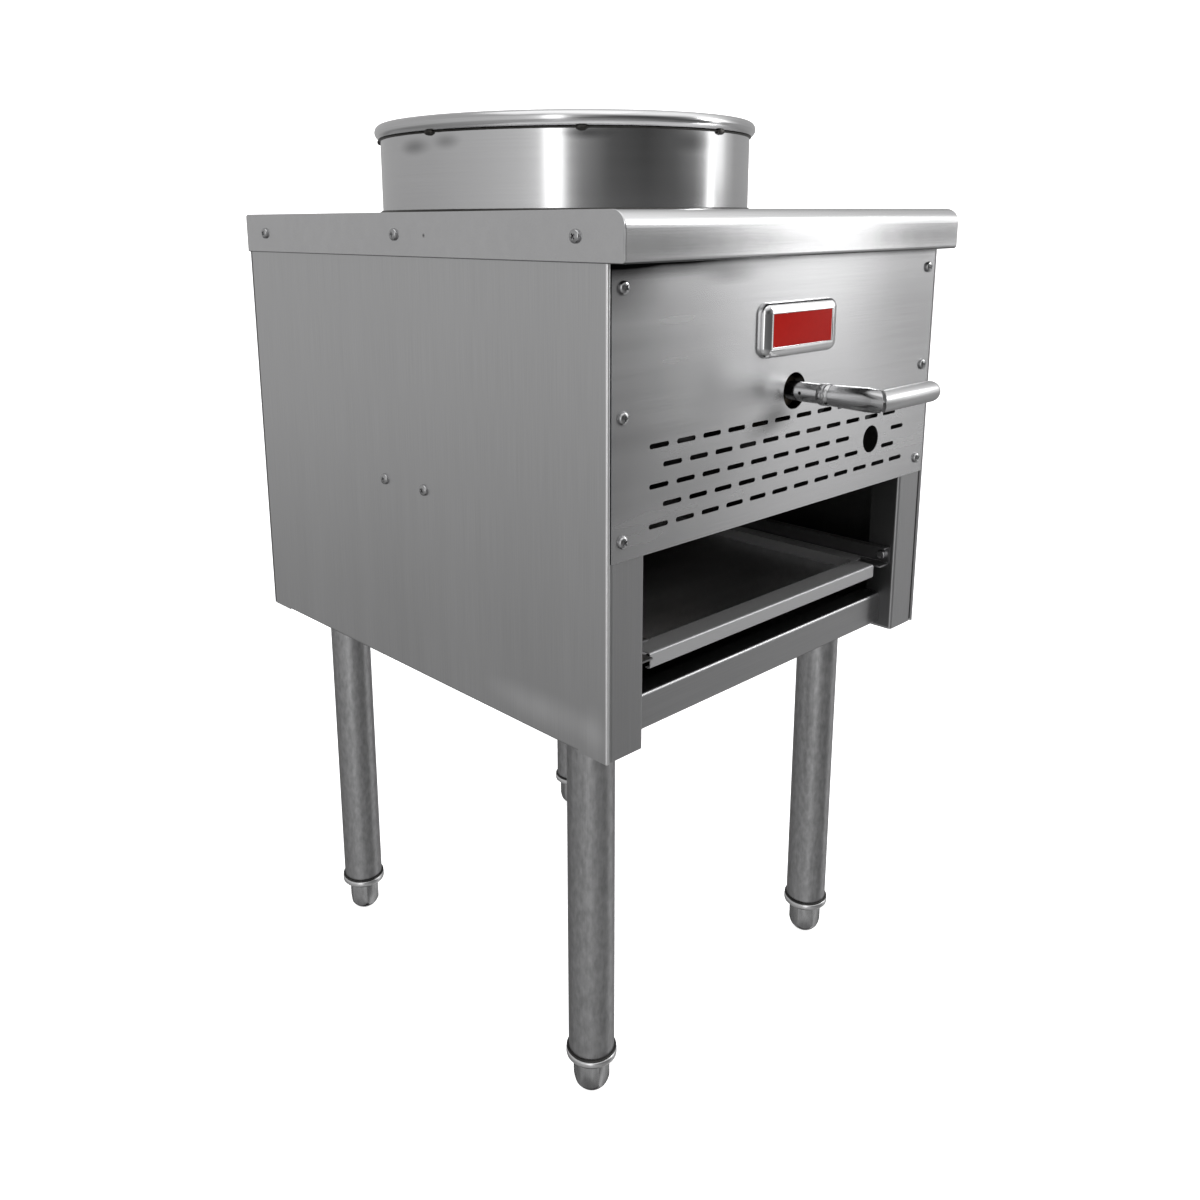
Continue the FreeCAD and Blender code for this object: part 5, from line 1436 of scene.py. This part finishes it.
# Stops that two layers of the surround share
LEFT_STOPS = (
    (-180, 0.60), (-160, 0.72), (-147, 0.90), (-143, 2.2), (-136, 2.2), (-132, 0.50), (-124, 0.16),
    (-60, 0.11), (-49, 0.12),
)
RIGHT_STOPS = ((-20, 0.40), (30, 0.40), (90, 0.46), (140, 0.50), (180, 0.60))


@dataclass
class Studio:
    """Pale floor with a swept-up back, soft light and the camera."""

    floor_half: float = 6.0
    sweep_height: float = 5.0
    sweep_radius: float = 2.0
    sweep_turn: float = math.radians(-42.9)
    crease: float = math.radians(40)
    floor_shade: float = 0.90
    floor_glow: float = 0.80
    paper_roughness: float = 0.9
    paper_gloss: float = 0.1
    fibre_scale: float = 30.0
    fibre: float = 0.01
    camera_place: Triple = (-0.7804, -0.7761, 0.7942)
    camera_heading: float = math.radians(-42.89)
    camera_down: float = math.radians(13.13)
    camera_roll: float = math.radians(-0.45)
    lens: float = 32.82
    sensor: float = 36.0
    shift: Pair = (0.0306, -0.1058)
    lights: tuple[SoftBox, ...] = (
        SoftBox("top_box", (-0.4, -0.4, 3.4), (0, 0, 0.4), 2.6, 12.0),
        SoftBox("front_window", (1.67, -1.37, 1.55), (0, -0.23, 0.65), 0.5, 9.0),
    )
    surround: tuple[Compass, ...] = (
        Compass((-1.0, -0.9), (
            (-180, 0.22), (-60, 0.22), (-45, 0.70), (-25, 0.70), (-10, 0.24), (180, 0.22),
        )),
        Compass((-0.85, -0.68), (
            (-180, 0.38), (-150, 0.42), (-140, 0.52), (-130, 0.42), (-60, 0.20), (-47, 0.24), (-42, 0.36),
            (-38, 0.52), (-25, 0.52), (-10, 0.36), (5, 0.30), (60, 0.22), (90, 0.14), (115, 0.24),
            (135, 0.28), (180, 0.38),
        )),
        Compass((-0.40, -0.10), (
            *LEFT_STOPS, (-43, 0.15), (-39.5, 0.28), (-37, 1.2), (-33, 1.2), (-30.5, 0.44), (-27, 0.36),
            *RIGHT_STOPS,
        )),
        Compass((-0.085, -0.03), (
            *LEFT_STOPS, (-41, 0.24), (-37.5, 0.60), (-35.5, 5.0), (-33, 5.0), (-31.5, 0.50), (-28, 0.36),
            *RIGHT_STOPS,
        )),
        Compass((0.0, 0.035), (
            (-180, 0.62), (-160, 0.70), (-147, 0.88), (-143, 2.6), (-136, 2.6), (-132, 0.62), (-124, 0.36),
            (-107, 0.12), (-84, 0.07), (-64, 0.14), (-49, 0.30), (-40, 0.70), (-36, 2.2), (-31, 1.8),
            (-24, 1.6), (-18, 0.80), (-8, 0.46), (30, 0.42), (90, 0.48), (140, 0.52), (180, 0.62),
        )),
        Compass((0.30, 0.80), (
            (-180, 0.46), (-150, 0.55), (-120, 0.90), (-60, 1.3), (-10, 1.3), (30, 0.80), (90, 0.46),
            (180, 0.46),
        )),
        Compass((0.80, 0.97), ((-180, 0.85), (180, 0.85))),
    )

    def build(self) -> None:
        """Builds the floor, the light and the camera."""
        self.build_floor()
        self.build_world()
        for box in self.lights:
            box.build()
        self.build_camera()
        bpy.context.scene.view_settings.view_transform = "Standard"

    def build_floor(self) -> None:
        """Lays the floor and sweeps its far edge up behind the range."""
        sheet = Piece.plane("studio_floor", self.floor_half * 2)
        far = self.floor_half - TINY
        sheet.pick_edges(lambda middle, along: middle.y > far)
        sheet.extrude(Z_AXIS * self.sweep_height)
        sheet.pick_edges(lambda middle, along: middle.y > far and middle.z < TINY)
        sheet.bevel(self.sweep_radius, segments=24)
        sheet.settle()
        sheet.obj.data.transform(Matrix.Rotation(self.sweep_turn, 4, "Z"))
        sheet.smooth(self.crease)
        board = SurfaceBoard("floor_paper")
        fibre = board.noise((self.fibre_scale,) * 3, detail=3.0)
        shade = board.total([1.0, board.swing(fibre, self.fibre)])
        board.set("Base Color", board.tinted((self.floor_shade,) * 3, shade))
        board.set("Roughness", self.paper_roughness)
        board.set("Specular IOR Level", self.paper_gloss)
        board.set("Emission Color", (1.0, 1.0, 1.0, 1.0))
        board.set("Emission Strength", self.floor_glow)
        sheet.obj.data.materials.append(board.material)
        sheet.obj.visible_glossy = False

    def build_world(self) -> None:
        """Surround that changes with height and round the compass."""
        world = bpy.data.worlds.new("surround")
        world.use_nodes = True
        board = NodeBoard(world.node_tree)
        x, y, z = board.parts(board.add("TexCoord", {}).outputs["Generated"])
        turn = board.math("ARCTAN2", y, x)
        share = board.math("MULTIPLY_ADD", turn, 1.0 / math.tau, 0.5)
        whole = (0.0, 0.0, 0.0)
        for compass in self.surround:
            fade = board.ramped(z, *compass.fade)
            whole = board.blended(fade, whole, compass.shades(board, share))
        seen = board.add("LightPath", {}).outputs["Is Camera Ray"]
        paper = (1.0, 1.0, 1.0)
        board.feed(world.node_tree.nodes["Background"].inputs["Color"], board.blended(seen, whole, paper))
        bpy.context.scene.world = world

    def build_camera(self) -> None:
        """Sets up the camera at the photograph's angle."""
        data = bpy.data.cameras.new("camera")
        data.lens = self.lens
        data.sensor_width = self.sensor
        data.shift_x, data.shift_y = self.shift
        camera = bpy.data.objects.new("camera", data)
        camera.matrix_world = (
            Matrix.Translation(self.camera_place)
            @ Matrix.Rotation(self.camera_heading, 4, "Z")
            @ Matrix.Rotation(math.pi / 2 - self.camera_down, 4, "X")
            @ Matrix.Rotation(self.camera_roll, 4, "Z")
        )
        bpy.context.scene.collection.objects.link(camera)
        bpy.context.scene.camera = camera


def main() -> None:
    """Builds the scene in order."""
    logging.basicConfig(level=logging.INFO, format="%(message)s")
    parts = (
        Cabinet(), WokRing(), Fasteners(), ValveHandle(), Nameplate(), DripTray(), Legs(), GasTrain(),
        Studio(),
    )
    for part in parts:
        part.build()
        LOG.info("%s is done", type(part).__name__)


if __name__ == "__main__":
    main()
